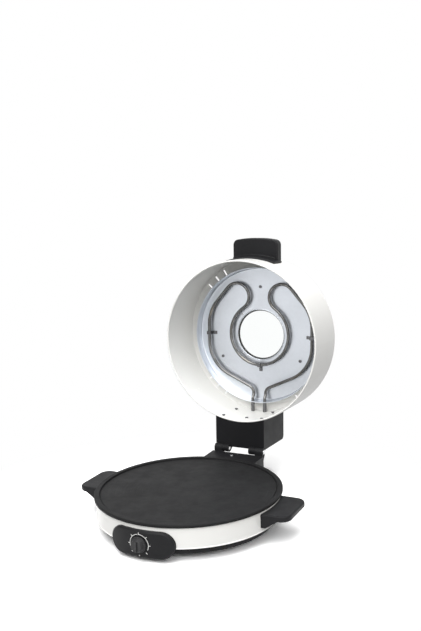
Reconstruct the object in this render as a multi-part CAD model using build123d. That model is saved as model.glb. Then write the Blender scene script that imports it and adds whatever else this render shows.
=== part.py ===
from build123d import *
import os
from math import acos, asin, atan2, cos, hypot, pi, radians, sin, sqrt, tan

# Countertop pizza maker: a round heated plate in a low base, and a drum-shaped lid with its own
# heating element and a glass window, hinged at the back.
# Millimetres. +Z is up, -Y is the front with the control panel, +X is the viewer's right.
# Base pieces are drawn about the plate's own vertical axis, lid pieces on the closed lid about
# the same axis, and the lid is then turned open about the hinge pins.

# Clearances
SEAT = 0.1              # between pieces that rest on each other
RUNNING = 0.05          # radial, round a pin or shaft that turns
PRESS = 0.02            # radial, round a pin or shaft that is pressed in
SCREW_PLAY = 0.1        # radial, round a screw's shank
MOVING_GAP = 0.5        # between lid pieces and base pieces at the hinge
SHIELD_CLEARANCE = 11.0 # between the heat shield and the thermostat
PAST = 1.0              # how far a cut runs past a face, or a joined shape into its neighbour
EDGE_ROUND = 0.5        # on edges that are only broken

# Hot plate: a cast disc with a raised lip that stands over the base band
PLATE_R = 200.0
PLATE_LIP_W = 11.0
PLATE_LIP_H = 6.0
PLATE_LIP_ROUND = 2.4
PLATE_DISH = 3.0
PLATE_CAST_T = 8.0
PLATE_GROOVE_W = 3.0
PLATE_GROOVE_DEPTH = 1.4
PLATE_GROOVE_LEAN = 0.5
PLATE_LIP_INNER_ROUND = 0.8
PLATE_SPIGOT_ROUND = 1.5
PLATE_BOSS_R = 8.0
PLATE_BOSS_H = 9.0

# Base band: a rolled steel hoop with a bead at each edge
BAND_INSET = 2.6
BAND_T = 1.0
BAND_H = 43.3
BEAD_R = 1.1

# Bottom pan and feet
PAN_INSET = 12.4
PAN_H = 16.6
PAN_T = 1.0
PAN_CORNER = 4.0
PAN_FLANGE_INSET = 0.8
FOOT_H = 12.0
FOOT_TOP_R = 13.0
FOOT_BOTTOM_R = 11.0
FOOT_EDGE = 1.5
FOOT_STEM_R = 3.0
FOOT_BARB_R = 4.2
FOOT_BARB_H = 3.0
FOOT_INSET = 45.0
FOOT_TURN = 45.0

# Studs that clamp the plate, the band and the pan, and carry the heat shield
STUD_COUNT = 3
STUD_CIRCLE_R = 70.0
STUD_R = 3.0
STUD_BLIND = 6.0
STUD_POINT = 1.0
NUT_FLAT = 10.0
NUT_H = 5.0
SPACER_R = 6.0
SPACER_WALL = 2.0
SPACER_H = 11.0
SHIELD_T = 0.6
SHIELD_RIM_H = 12.0
SHIELD_CORNER = 3.0

# Lower heating element, clamped under the plate
LOWER_TUBE_R = 4.0
LOWER_LOOP_R = 118.0
LOWER_GAP_ANGLE = 30.0
LOWER_BEND_R = 12.0
LOWER_LEG = 14.0
CLAMP_COUNT = 3
CLAMP_TURN = 150.0
CLAMP_W = 14.0
CLAMP_T = 2.0
CLAMP_OVERHANG = 6.0
CLAMP_BOSS_R = 5.0
CLAMP_BOSS_OFFSET = 12.0
CLAMP_SCREW_LENGTH = 8.0

# Small screws
SCREW_R = 2.0
SCREW_HEAD_R = 3.8
SCREW_HEAD_H = 2.4
SCREW_HEAD_ROUND = 0.9
SCREW_SLOT_W = 0.9
SCREW_SLOT_DEPTH = 0.9
SCREW_BOSS_R = 5.0

# Control panel on the front of the band
PANEL_STAND = 9.6
PANEL_STRAIGHT_HALF = 42.5
PANEL_HALF_W = 70.5
PANEL_TOP_DROP = 13.7
PANEL_H = 55.7
PANEL_BEVEL = 2.8
PANEL_WALL = 3.0
PANEL_SCREW_ANGLE = 14.0
PANEL_SCREW_LENGTH = 8.0
PANEL_SINK_DEPTH = 3.2
SHAFT_HOLE_PLAY = 0.6

# Knob, shaft and thermostat
KNOB_GAP = 0.8
KNOB_SKIRT_R = 16.0
KNOB_SKIRT_H = 3.2
KNOB_BASE_R = 13.6
KNOB_TOP_R = 11.6
KNOB_H = 11.5
KNOB_EDGE = 1.0
KNOB_FLARE_ROUND = 0.8
KNOB_GRIP_W = 5.0
KNOB_GRIP_H = 2.6
KNOB_BORE_DEPTH = 8.0
SHAFT_R = 3.0
SHAFT_FLAT = 0.8
THERMO_W = 34.0
THERMO_H = 13.0
THERMO_DEPTH = 18.0
THERMO_CORNER = 2.0
THERMO_BUSH_R = 5.0
THERMO_BUSH_L = 6.0
THERMO_BORE_DEPTH = 14.0
THERMO_SCREW_SPACING = 22.0
THERMO_SCREW_BITE = 6.0
PLUNGER_R = 2.5

# Side handles
HANDLE_REACH = 50.9
HANDLE_HALF_W = 55.0
HANDLE_CORNER = 22.0
HANDLE_T = 12.5
HANDLE_TOP_DROP = 10.5
HANDLE_EDGE = 4.0
HANDLE_ROOT_H = 28.5
HANDLE_ROOT_REACH = 27.4
HANDLE_ROOT_FLAT = 2.0
HANDLE_ROOT_SINK = 1.0
HANDLE_ROOT_BEND_R = 12.0
HANDLE_ROOT_FADE = 4.0
HANDLE_SCREW_ANGLE = 8.0
HANDLE_SCREW_R = 2.5
HANDLE_SCREW_HEAD_R = 4.6
HANDLE_SCREW_HEAD_H = 3.0
HANDLE_SCREW_LENGTH = 17.0

# Hinge
HINGE_BEHIND_BAND = 60.9
HINGE_ABOVE_RIM = 1.9
HINGE_OPEN_ANGLE = 93.3
BARREL_R = 9.0
PIN_R = 4.0
PIN_HEAD_R = 5.6
PIN_HEAD_H = 1.8
PIN_HEAD_ROUND = 0.8
BASE_LUG_W = 20.0
LID_LUG_W = 16.0
LUG_WEB_DROP = 22.0
LUG_WEB_FOOT = 8.0
LUG_WEB_BEND_DROP = 4.0
LUG_WEB_BEND_R = 6.0

# Hinge bracket on the back of the base
BRACKET_HALF_W = 66.0
BRACKET_DEPTH = 52.6
BRACKET_TOP_DROP = 4.8
BRACKET_FRONT_WALL = 8.0
BRACKET_WALL = 3.0
BRACKET_EDGE = 2.0
BRACKET_FOOT_X = 45.0
BRACKET_FOOT_SET = 22.0
BRACKET_COLUMN_R = 9.0
STAY_HALF_W = 30.0
STAY_T = 2.0
STAY_LEG = 34.0
STAY_TOP_LEG = 32.0
BRACKET_SCREW_X = 20.0
BRACKET_SCREW_PITCH = 20.0
BRACKET_SCREW_BELOW_TOP = 16.0
BRACKET_SCREW_TIP = 1.0
TOP_SCREW_X = -6.0
TOP_SCREW_SET = 23.0
TOP_SCREW_LENGTH = 8.0

# Cord gland in the bracket's back wall, and the terminal block in the pan
GLAND_R = 8.0
GLAND_BORE_R = 3.6
GLAND_GROOVE = 1.2
GLAND_TAPER = 1.2
GLAND_ROUND = 1.0
GLAND_LENGTH = 11.0
GLAND_ABOVE_FLOOR = 32.0
BLOCK_TERMINAL_W = 38.0
BLOCK_TERMINAL_D = 18.0
BLOCK_TERMINAL_H = 15.0
BLOCK_TERMINAL_SET = 57.0
BLOCK_TERMINAL_BORE_DROP = 5.0
BLOCK_TERMINAL_BORES = 3
BLOCK_TERMINAL_BORE_R = 2.6
BLOCK_TERMINAL_SCREW_TIP = 1.0

# Lid shell: one deep-drawn drum with a rolled hem
LID_INSET = 7.7
LID_RIM_GAP = 0.4
LID_DEPTH = 133.4
LID_T = 0.8
LID_CORNER = 3.0
HEM_R = 2.0
VENT_INSET = 20.8
VENT_LENGTH = 15.5
VENT_W = 4.0
VENT_PITCH = 8.7
VENTS_IN_GROUP = 3
VENT_ROUND = 1.95
VENT_GROUPS = (49.0, 131.0, 229.0, 311.0)

# Window in the lid's top
WINDOW_SIGHT_R = 59.0
GLASS_EDGE = 7.0
GLASS_T = 4.0
GASKET_T = 1.0
GASKET_W = 4.0
WINDOW_RING_WALL = 6.5
WINDOW_RING_T = 1.6
WINDOW_RING_EDGE = 0.7
WINDOW_SCREWS = 4
WINDOW_SCREW_TURN = 45.0
WINDOW_SCREW_R = 1.5
WINDOW_SCREW_HEAD_R = 2.6
WINDOW_SCREW_HEAD_H = 1.6
WINDOW_SCREW_LENGTH = 6.0
WINDOW_SCREW_BITE = 5.0

# Reflector dish inside the lid
REFLECTOR_R = 165.0
REFLECTOR_SKIRT_H = 23.0
REFLECTOR_FLARE = 1.5
REFLECTOR_T = 0.6
REFLECTOR_CORNER = 4.0
REFLECTOR_LIP_R = 1.1
REFLECTOR_HOLE_MARGIN = 3.0

# Upper heating element: a bent tube held off the reflector by clips
UPPER_TUBE_R = 3.75
UPPER_STANDOFF = 9.5
TERMINAL_X = 16.0
ENTRY_BEND_R = 17.8
ENTRY_BEND_Y = 146.0
ENTRY_DROP = 5.7
ENTRY_RAMP_R = 10.0
BOW_R = 90.0
BOW_REACH = 137.5
BOW_STRAIGHT_HALF = 21.5
LOBE_R = 32.7
LOBE_X = 59.7
INNER_LOOP_R = 76.7
INNER_LOOP_SHIFT = 2.1
LOBE_RUN = 0.6
SLEEVE_R = 4.6
SLEEVE_AFTER_BEND = 5.3
SLEEVE_OUTSIDE = 4.0
ELEMENT_TAIL = 9.0
INSULATOR_R = 4.6
INSULATOR_L = 6.0
TAB_W = 6.3
TAB_T = 0.8
TAB_L = 10.0
TAB_HOLE_R = 0.9
TAB_HOLE_SET = 3.0

# Clips and screws on the reflector
CLIP_W = 8.0
CLIP_T = 1.0
CLIP_PLAY = 0.3
CLIP_FOOT = 12.0
CLIP_LIP = 4.0
CLIP_SIDE_Y = 1.0
REFLECTOR_SCREW_FRONT_Y = -119.0
REFLECTOR_SCREW_SIDE = (104.0, 60.0)
LID_NUT_R = 3.8
LID_NUT_H = 2.2
LID_SCREW_LENGTH = 4.2

# Lid handle on the front of the drum: a flat grip on a thin collar, with a ridge along its foot
GRIP_HALF_W = 58.5
GRIP_REACH = 46.8
GRIP_BOW = 5.0
GRIP_BOW_HALF_W = 23.4
GRIP_BOW_R = 170.0
GRIP_CORNER = 13.5
GRIP_DEPTH_NEAR = 100.0
GRIP_DEPTH_FAR = 126.0
GRIP_EDGE = 3.5
COLLAR_DEPTH_NEAR = 58.0
COLLAR_DEPTH_FAR = 106.0
COLLAR_T = 3.7
COLLAR_SLOPE = 6.5
COLLAR_ANGLE = 20.2
RIDGE_STAND = 8.3
RIDGE_RISE = 7.0
RIDGE_ROUND = 1.5
GRIP_SCREW_ANGLE = 9.0
GRIP_SCREW_DEPTH = 112.0
GRIP_SCREW_LENGTH = 18.0

# Hinge block on the back of the drum
BLOCK_HALF_W = 62.5
BLOCK_SHORT_OF_AXIS = 3.4
BLOCK_NEAR = 3.0
BLOCK_FAR = 125.0
BLOCK_WALL = 3.0
BLOCK_BACK_ROUND = 9.0
BLOCK_POST_R = 5.0
BLOCK_SCREW_LENGTH = 14.0
BLOCK_SCREWS = ((-50.0, 20.0), (50.0, 20.0), (-49.0, 90.0), (49.0, 90.0), (0.0, 44.0))

# Heights, worked up from the surface that the feet stand on
PAN_Z = FOOT_H
BAND_Z = PAN_Z + PAN_H
BAND_TOP_Z = BAND_Z + BAND_H
RIM_Z = BAND_TOP_Z + SEAT + PLATE_LIP_H
COOK_Z = RIM_Z - PLATE_DISH
PLATE_UNDER_Z = COOK_Z - PLATE_CAST_T
LOWER_TUBE_Z = PLATE_UNDER_Z - SEAT - LOWER_TUBE_R
CLAMP_TOP_Z = LOWER_TUBE_Z - LOWER_TUBE_R - SEAT
SHIELD_TOP_Z = PLATE_UNDER_Z - PLATE_BOSS_H - SPACER_H
PANEL_TOP_Z = RIM_Z - PANEL_TOP_DROP
KNOB_Z = PANEL_TOP_Z - PANEL_H / 2
HANDLE_TOP_Z = RIM_Z - HANDLE_TOP_DROP
BRACKET_TOP_Z = RIM_Z - BRACKET_TOP_DROP

# Radii and places worked out from the plate
BAND_R = PLATE_R - BAND_INSET
BAND_INNER_R = BAND_R - BAND_T
BEAD_OUTER_R = BAND_INNER_R + 2 * BEAD_R
PAN_R = BAND_R - PAN_INSET
FOOT_CIRCLE_R = PAN_R - FOOT_INSET
BLOCK_TERMINAL_Y = PAN_R - BLOCK_TERMINAL_SET
THERMO_FACE_Y = SEAT - sqrt(BAND_INNER_R ** 2 - (THERMO_W / 2) ** 2)
SHIELD_R = -THERMO_FACE_Y - THERMO_DEPTH - SHIELD_CLEARANCE
LID_R = PLATE_R - LID_INSET
LID_INNER_R = LID_R - LID_T
VENT_INNER_R = LID_R - VENT_INSET
PANEL_R = BAND_R + PANEL_STAND
HINGE_Y = BAND_R + HINGE_BEHIND_BAND
HINGE_Z = RIM_Z + HINGE_ABOVE_RIM
BRACKET_BACK_Y = BAND_R + BRACKET_DEPTH
LUG_OUTER_X = BLOCK_HALF_W
LUG_INNER_X = LUG_OUTER_X - BASE_LUG_W
LID_LUG_OUTER_X = LUG_INNER_X - MOVING_GAP
LID_LUG_INNER_X = LID_LUG_OUTER_X - LID_LUG_W
PANEL_FACE_Y = -PANEL_R
PANEL_SINK_Y = PANEL_FACE_Y + PANEL_SINK_DEPTH

# Depths are counted from the closed lid's rim towards its top
LID_RIM_Z = RIM_Z + LID_RIM_GAP
LID_INSIDE_DEPTH = LID_DEPTH - LID_T
DISC_DEPTH = LID_INSIDE_DEPTH - REFLECTOR_T
ELEMENT_DEPTH = DISC_DEPTH - UPPER_STANDOFF
TERMINAL_DEPTH = ELEMENT_DEPTH - ENTRY_DROP
LIP_DEPTH = LID_INSIDE_DEPTH - REFLECTOR_SKIRT_H
GLASS_R = WINDOW_SIGHT_R + GLASS_EDGE
GASKET_INNER_R = GLASS_R - GASKET_W
WINDOW_RING_R = GLASS_R + SEAT + WINDOW_RING_WALL
WINDOW_SCREW_CIRCLE_R = GLASS_R + SEAT + WINDOW_RING_WALL / 2
BLOCK_OUTER_Y = HINGE_Y - BLOCK_SHORT_OF_AXIS


def lid_z(depth):
    """Height of a depth inside the closed lid."""
    return LID_RIM_Z + depth


def outline(points):
    """Closed face through (u, v) or (u, v, corner radius) points, with tangent arcs at the corners."""
    corners = []
    for i, point in enumerate(points):
        here = Vector(point[0], point[1])
        before = Vector(*points[i - 1][:2])
        after = Vector(*points[(i + 1) % len(points)][:2])
        if len(point) == 2:
            corners.append((here, None, here))
            continue
        radius = point[2]
        to_before = (before - here).normalized()
        to_after = (after - here).normalized()
        half = radians(to_before.get_angle(to_after)) / 2
        reach = radius / tan(half)
        centre = here + (to_before + to_after).normalized() * (radius / sin(half))
        middle = centre + (here - centre).normalized() * radius
        corners.append((here + to_before * reach, middle, here + to_after * reach))
    edges = []
    for i, (start, middle, end) in enumerate(corners):
        if middle is not None:
            edges.append(ThreePointArc(start, middle, end))
        following = corners[(i + 1) % len(corners)][0]
        if (following - end).length > 1e-6:
            edges.append(Line(end, following))
    return Face(Wire(edges))


def spun(points):
    """Solid of revolution about Z from a profile of (radius, height) points."""
    return revolve(Plane.XZ * outline(points), Axis.Z)


def upright(radius, low, high, x=0.0, y=0.0):
    """Cylinder along Z from one height to another."""
    return Pos(x, y, low) * Cylinder(radius, high - low, align=(Align.CENTER, Align.CENTER, Align.MIN))


def tube(outer, inner, low, high, x=0.0, y=0.0):
    """Hollow cylinder along Z."""
    return upright(outer, low, high, x, y) - upright(inner, low, high, x, y)


def block(x, y, z):
    """Box from three (low, high) pairs."""
    size = (x[1] - x[0], y[1] - y[0], z[1] - z[0])
    return Pos(x[0], y[0], z[0]) * Box(*size, align=(Align.MIN, Align.MIN, Align.MIN))


def turned(shape, angle):
    """Shape turned about the base's vertical axis."""
    return Rot(0, 0, angle) * shape


def outward(shape, angle, radius, height):
    """Shape drawn along +Z from the origin, laid so that it points away from the axis at an angle from +X."""
    return turned(Pos(radius, 0, height) * Rot(0, 90, 0) * shape, angle)


def mirrored(shape):
    """Shape and its mirror image across the middle plane."""
    return [shape, mirror(shape, Plane.YZ)]


def joined(shapes):
    """One compound of every solid in a list of shapes."""
    solids = []
    for shape in shapes:
        solids.extend(shape.solids())
    return Compound(solids)


def pan_head(radius, head_r, head_h, length):
    """Screw along +Z with its head below the origin and a slot across the head."""
    head = spun([(0, -head_h), (head_r, -head_h, SCREW_HEAD_ROUND), (head_r, 0), (0, 0)])
    shank = upright(radius, 0, length)
    slot = Pos(0, 0, -head_h) * Box(3 * head_r, SCREW_SLOT_W, 2 * SCREW_SLOT_DEPTH)
    return head + shank - slot


def hexagon(flat, bore_r, low, high, x, y):
    """Hexagon nut along Z."""
    body = extrude(Pos(x, y, low) * RegularPolygon(flat / 2, 6, major_radius=False), high - low)
    return body - upright(bore_r, low, high, x, y)


def ring_places(count, radius, first):
    """Points evenly spaced round the axis, the first at an angle from +X."""
    angles = [radians(first + 360.0 * i / count) for i in range(count)]
    return [(radius * cos(a), radius * sin(a)) for a in angles]


STUD_PLACES = ring_places(STUD_COUNT, STUD_CIRCLE_R, 90.0)
CLAMP_ANGLES = [CLAMP_TURN + 360.0 * i / CLAMP_COUNT for i in range(CLAMP_COUNT)]
PAN_FOOT_PLACES = ring_places(4, FOOT_CIRCLE_R, FOOT_TURN)
BRACKET_FOOT_PLACES = [(side * BRACKET_FOOT_X, BRACKET_BACK_Y - BRACKET_FOOT_SET) for side in (-1, 1)]
WINDOW_SCREW_PLACES = ring_places(WINDOW_SCREWS, WINDOW_SCREW_CIRCLE_R, WINDOW_SCREW_TURN)


# Base pieces

def hot_plate():
    groove_out = PLATE_R - PLATE_LIP_W
    groove_in = groove_out - PLATE_GROOVE_W
    spigot_r = BAND_INNER_R - SEAT
    plate = spun([
        (0, COOK_Z),
        (groove_in, COOK_Z, EDGE_ROUND),
        (groove_in + PLATE_GROOVE_LEAN, COOK_Z - PLATE_GROOVE_DEPTH, EDGE_ROUND),
        (groove_out - PLATE_GROOVE_LEAN, COOK_Z - PLATE_GROOVE_DEPTH, EDGE_ROUND),
        (groove_out, RIM_Z, PLATE_LIP_INNER_ROUND),
        (PLATE_R, RIM_Z, PLATE_LIP_ROUND),
        (PLATE_R, RIM_Z - PLATE_LIP_H, EDGE_ROUND),
        (spigot_r, RIM_Z - PLATE_LIP_H),
        (spigot_r, PLATE_UNDER_Z, PLATE_SPIGOT_ROUND),
        (0, PLATE_UNDER_Z),
    ])
    boss_low = PLATE_UNDER_Z - PLATE_BOSS_H
    for x, y in STUD_PLACES:
        plate += upright(PLATE_BOSS_R, boss_low, PLATE_UNDER_Z + SEAT, x, y)
    for x, y in STUD_PLACES:
        plate -= upright(STUD_R + PRESS, boss_low, boss_low + STUD_BLIND + SEAT, x, y)
    boss_r = LOWER_LOOP_R - CLAMP_BOSS_OFFSET
    hole_top = CLAMP_TOP_Z + CLAMP_SCREW_LENGTH - CLAMP_T + SEAT
    for angle in CLAMP_ANGLES:
        boss = upright(CLAMP_BOSS_R, CLAMP_TOP_Z, PLATE_UNDER_Z + SEAT, boss_r, 0)
        hole = upright(SCREW_R + PRESS, CLAMP_TOP_Z, hole_top, boss_r, 0)
        plate += turned(boss, angle)
        plate -= turned(hole, angle)
    return plate


def band_cuts():
    """Holes through the band for the shaft, the screws and the leads."""
    wall = 4 * BAND_T
    screw = Cylinder(SCREW_R + SCREW_PLAY, wall)
    level_screw = Rot(90, 0, 0) * Cylinder(SCREW_R + SCREW_PLAY, 4 * wall)
    handle_screw = Cylinder(HANDLE_SCREW_R + SCREW_PLAY, wall)
    cuts = [outward(Cylinder(THERMO_BUSH_R + SCREW_PLAY, 8 * wall), -90, BAND_R, KNOB_Z)]
    cuts += [Pos(x, -BAND_R, KNOB_Z) * level_screw for x in thermostat_screw_xs()]
    cuts += [outward(screw, angle, BAND_R, KNOB_Z) for angle in panel_screw_angles()]
    for angle in handle_screw_angles():
        cuts += mirrored(outward(handle_screw, angle, BAND_R, handle_screw_z()))
    cuts += [Pos(x, BAND_R, z) * level_screw for x, z in bracket_screw_places()]
    cuts.append(outward(Cylinder(GLAND_R, wall), 90, BAND_R, GLAND_ABOVE_FLOOR + GLAND_R))
    return cuts


def base_band():
    band = spun([
        (BAND_INNER_R, BAND_Z + BEAD_R),
        (BAND_R, BAND_Z + BEAD_R),
        (BAND_R, BAND_TOP_Z - BEAD_R),
        (BAND_INNER_R, BAND_TOP_Z - BEAD_R),
    ])
    for z in (BAND_Z + BEAD_R, BAND_TOP_Z - BEAD_R):
        band += Pos(0, 0, z) * Torus(BAND_INNER_R + BEAD_R, BEAD_R)
    for cut in band_cuts():
        band -= cut
    return band


def bottom_pan():
    flange_r = BEAD_OUTER_R - PAN_FLANGE_INSET
    flange_top = BAND_Z - SEAT
    flange_low = flange_top - PAN_T
    pan = spun([
        (0, PAN_Z),
        (PAN_R, PAN_Z, PAN_CORNER),
        (PAN_R, flange_low, PAN_T),
        (flange_r, flange_low),
        (flange_r, flange_top),
        (PAN_R - PAN_T, flange_top, 2 * PAN_T),
        (PAN_R - PAN_T, PAN_Z + PAN_T, PAN_CORNER - PAN_T),
        (0, PAN_Z + PAN_T),
    ])
    low, high = PAN_Z - PAN_T, PAN_Z + 2 * PAN_T
    for x, y in STUD_PLACES:
        pan -= upright(STUD_R + SCREW_PLAY, low, high, x, y)
    for x, y in PAN_FOOT_PLACES:
        pan -= upright(FOOT_STEM_R + SCREW_PLAY, low, high, x, y)
    pan -= upright(SCREW_R + SCREW_PLAY, low, high, 0, BLOCK_TERMINAL_Y)
    return pan


def foot(x, y):
    body = spun([(0, 0), (FOOT_BOTTOM_R, 0, FOOT_EDGE), (FOOT_TOP_R, FOOT_H), (0, FOOT_H)])
    stem = upright(FOOT_STEM_R, FOOT_H, FOOT_H + PAN_T + SEAT)
    barb_low = FOOT_H + PAN_T + SEAT
    barb = Pos(0, 0, barb_low) * Cone(FOOT_BARB_R, FOOT_STEM_R, FOOT_BARB_H,
                                      align=(Align.CENTER, Align.CENTER, Align.MIN))
    return Pos(x, y, 0) * (body + stem + barb)


def feet():
    return joined([foot(x, y) for x, y in PAN_FOOT_PLACES + BRACKET_FOOT_PLACES])


def plate_studs():
    top = PLATE_UNDER_Z - PLATE_BOSS_H + STUD_BLIND
    low = PAN_Z - NUT_H - STUD_POINT
    return joined([upright(STUD_R, low, top, x, y) for x, y in STUD_PLACES])


def shield_spacers():
    low = SHIELD_TOP_Z
    high = SHIELD_TOP_Z + SPACER_H
    return joined([tube(SPACER_R, SPACER_R - SPACER_WALL, low, high, x, y) for x, y in STUD_PLACES])


def heat_shield():
    low = SHIELD_TOP_Z - SHIELD_T
    shield = spun([
        (0, low),
        (SHIELD_R, low, SHIELD_CORNER),
        (SHIELD_R, low + SHIELD_RIM_H),
        (SHIELD_R - SHIELD_T, low + SHIELD_RIM_H),
        (SHIELD_R - SHIELD_T, SHIELD_TOP_Z, SHIELD_CORNER - SHIELD_T),
        (0, SHIELD_TOP_Z),
    ])
    for x, y in STUD_PLACES:
        shield -= upright(STUD_R + SCREW_PLAY, low - PAST, SHIELD_TOP_Z + PAST, x, y)
    for x, y in lower_leg_places():
        shield -= upright(2 * LOWER_TUBE_R, low - PAST, SHIELD_TOP_Z + PAST, x, y)
    return shield


def shield_nuts():
    return stud_nuts(SHIELD_TOP_Z - SHIELD_T)


def pan_nuts():
    return stud_nuts(PAN_Z)


def stud_nuts(high):
    """A nut on each stud, with its upper face at a height."""
    return joined([hexagon(NUT_FLAT, STUD_R + PRESS, high - NUT_H, high, x, y) for x, y in STUD_PLACES])


def lower_ends():
    """Angles from +X of the two ends of the lower element's loop, either side of the back."""
    return 90.0 - LOWER_GAP_ANGLE / 2, 90.0 + LOWER_GAP_ANGLE / 2


def lower_leg_places():
    """Centres of the two legs that turn down from the loop's ends."""
    places = []
    for angle, side in zip(lower_ends(), (1, -1)):
        a = radians(angle)
        end = Vector(LOWER_LOOP_R * cos(a), LOWER_LOOP_R * sin(a))
        onward = Vector(-sin(a), cos(a)) * side
        leg = end + onward * LOWER_BEND_R
        places.append((leg.X, leg.Y))
    return places


def lower_element():
    first, last = [radians(a) for a in lower_ends()]
    front = Vector(0, -LOWER_LOOP_R, LOWER_TUBE_Z)
    right = Vector(LOWER_LOOP_R * cos(first), LOWER_LOOP_R * sin(first), LOWER_TUBE_Z)
    left = Vector(LOWER_LOOP_R * cos(last), LOWER_LOOP_R * sin(last), LOWER_TUBE_Z)
    drop = Vector(0, 0, LOWER_BEND_R)
    legs = [Vector(x, y, LOWER_TUBE_Z) - drop for x, y in lower_leg_places()]
    foot_right = legs[0] - Vector(0, 0, LOWER_LEG)
    foot_left = legs[1] - Vector(0, 0, LOWER_LEG)

    def bend_middle(end, leg):
        centre = end - drop
        bisector = (end - centre).normalized() + (leg - centre).normalized()
        return centre + bisector.normalized() * LOWER_BEND_R

    path = Wire([
        Line(foot_right, legs[0]),
        ThreePointArc(legs[0], bend_middle(right, legs[0]), right),
        ThreePointArc(right, front, left),
        ThreePointArc(left, bend_middle(left, legs[1]), legs[1]),
        Line(legs[1], foot_left),
    ])
    start = Plane(origin=foot_right, z_dir=Vector(0, 0, 1))
    return sweep(start * Circle(LOWER_TUBE_R), path)


def element_clamps():
    boss_r = LOWER_LOOP_R - CLAMP_BOSS_OFFSET
    inner = boss_r - CLAMP_BOSS_R
    outer = LOWER_LOOP_R + CLAMP_OVERHANG
    low = CLAMP_TOP_Z - CLAMP_T
    strap = block((inner, outer), (-CLAMP_W / 2, CLAMP_W / 2), (low, CLAMP_TOP_Z))
    strap -= upright(SCREW_R + SCREW_PLAY, low, CLAMP_TOP_Z, boss_r, 0)
    return joined([turned(strap, angle) for angle in CLAMP_ANGLES])


def clamp_screws():
    boss_r = LOWER_LOOP_R - CLAMP_BOSS_OFFSET
    screw = pan_head(SCREW_R, SCREW_HEAD_R, SCREW_HEAD_H, CLAMP_SCREW_LENGTH)
    placed = Pos(boss_r, 0, CLAMP_TOP_Z - CLAMP_T) * screw
    return joined([turned(placed, angle) for angle in CLAMP_ANGLES])


def panel_outline(inset):
    """The panel's rounded outline, seen from the front, drawn in X and Z."""
    half_h = PANEL_H / 2 - inset
    straight = PANEL_STRAIGHT_HALF
    half_w = PANEL_HALF_W - inset
    corner = (-straight, half_h), (straight, half_h), (straight, -half_h), (-straight, -half_h)
    edges = [
        Line(corner[0], corner[1]),
        ThreePointArc(corner[1], (half_w, 0), corner[2]),
        Line(corner[2], corner[3]),
        ThreePointArc(corner[3], (-half_w, 0), corner[0]),
    ]
    return Face(Wire(edges))


def panel_bar(inset, y_near, y_far):
    """The outline carried along Y from one place to another."""
    start = Plane(origin=(0, y_near, KNOB_Z), x_dir=(1, 0, 0), z_dir=(0, -1, 0))
    return extrude(start * panel_outline(inset), y_far - y_near, dir=(0, 1, 0))


def panel_screw_angles():
    return [-90.0 - PANEL_SCREW_ANGLE, -90.0 + PANEL_SCREW_ANGLE]


def control_panel():
    front = PANEL_FACE_Y - PAST
    middle_low, middle_high = KNOB_Z - PANEL_H, KNOB_Z + PANEL_H
    outer_drum = upright(PANEL_R, middle_low, middle_high)
    body = panel_bar(0, front, 0) & outer_drum
    body = body - upright(BEAD_OUTER_R + SEAT, middle_low, middle_high)
    on_face = PANEL_R - RUNNING
    body = chamfer([e for e in body.edges() if radial(e @ 0.5) > on_face], PANEL_BEVEL)
    pocket = panel_bar(PANEL_WALL, front, 0) & upright(PANEL_R - PANEL_WALL, middle_low, middle_high)
    post_clip = upright(PANEL_R - PANEL_WALL / 2, middle_low, middle_high)
    post_clip -= upright(BEAD_OUTER_R + SEAT, middle_low, middle_high)
    posts = [Pos(x, 0, KNOB_Z) * Rot(90, 0, 0) * upright(SCREW_BOSS_R, 0, PANEL_R)
             for x in thermostat_screw_xs()]
    posts += [outward(upright(SCREW_BOSS_R, 0, PANEL_STAND), angle, BAND_R, KNOB_Z)
              for angle in panel_screw_angles()]
    shell = body - pocket
    for post in posts:
        shell += post & post_clip
    shaft_hole = upright(SHAFT_R + SHAFT_HOLE_PLAY, 0, PANEL_R + PAST)
    shell -= Pos(0, 0, KNOB_Z) * Rot(90, 0, 0) * shaft_hole
    for x in thermostat_screw_xs():
        shell -= Pos(x, 0, KNOB_Z) * Rot(90, 0, 0) * upright(SCREW_R + SCREW_PLAY, 0, PANEL_R + PAST)
        sink = upright(SCREW_HEAD_R + SCREW_PLAY, 0, PANEL_R)
        shell -= Pos(x, PANEL_SINK_Y, KNOB_Z) * Rot(90, 0, 0) * sink
    for angle in panel_screw_angles():
        shell -= outward(upright(SCREW_R + PRESS, 0, PANEL_SCREW_LENGTH + SEAT), angle, BAND_R, KNOB_Z)
    return shell


def radial(point):
    """Distance of a point from the base's vertical axis."""
    return hypot(point.X, point.Y)


def panel_screws():
    screw = pan_head(SCREW_R, SCREW_HEAD_R, SCREW_HEAD_H, PANEL_SCREW_LENGTH)
    inside = BAND_INNER_R - SEAT
    return joined([outward(screw, angle, inside, KNOB_Z) for angle in panel_screw_angles()])


def thermostat_screw_xs():
    return [-THERMO_SCREW_SPACING / 2, THERMO_SCREW_SPACING / 2]


def thermostat():
    face = THERMO_FACE_Y
    body = block((-THERMO_W / 2, THERMO_W / 2), (face, face + THERMO_DEPTH),
                 (KNOB_Z - THERMO_H / 2, KNOB_Z + THERMO_H / 2))
    body = fillet(body.edges().filter_by(Axis.Y), THERMO_CORNER)
    bush = upright(THERMO_BUSH_R, 0, THERMO_BUSH_L + PAST)
    body += Pos(0, face + PAST, KNOB_Z) * Rot(90, 0, 0) * bush
    deep = THERMO_BORE_DEPTH + THERMO_BUSH_L
    body -= Pos(0, face + THERMO_BORE_DEPTH, KNOB_Z) * Rot(90, 0, 0) * upright(SHAFT_R + RUNNING, 0, deep)
    for x in thermostat_screw_xs():
        bite = upright(SCREW_R + PRESS, 0, THERMO_SCREW_BITE + SEAT)
        body -= Pos(x, face + THERMO_SCREW_BITE + SEAT, KNOB_Z) * Rot(90, 0, 0) * bite
    return body


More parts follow.
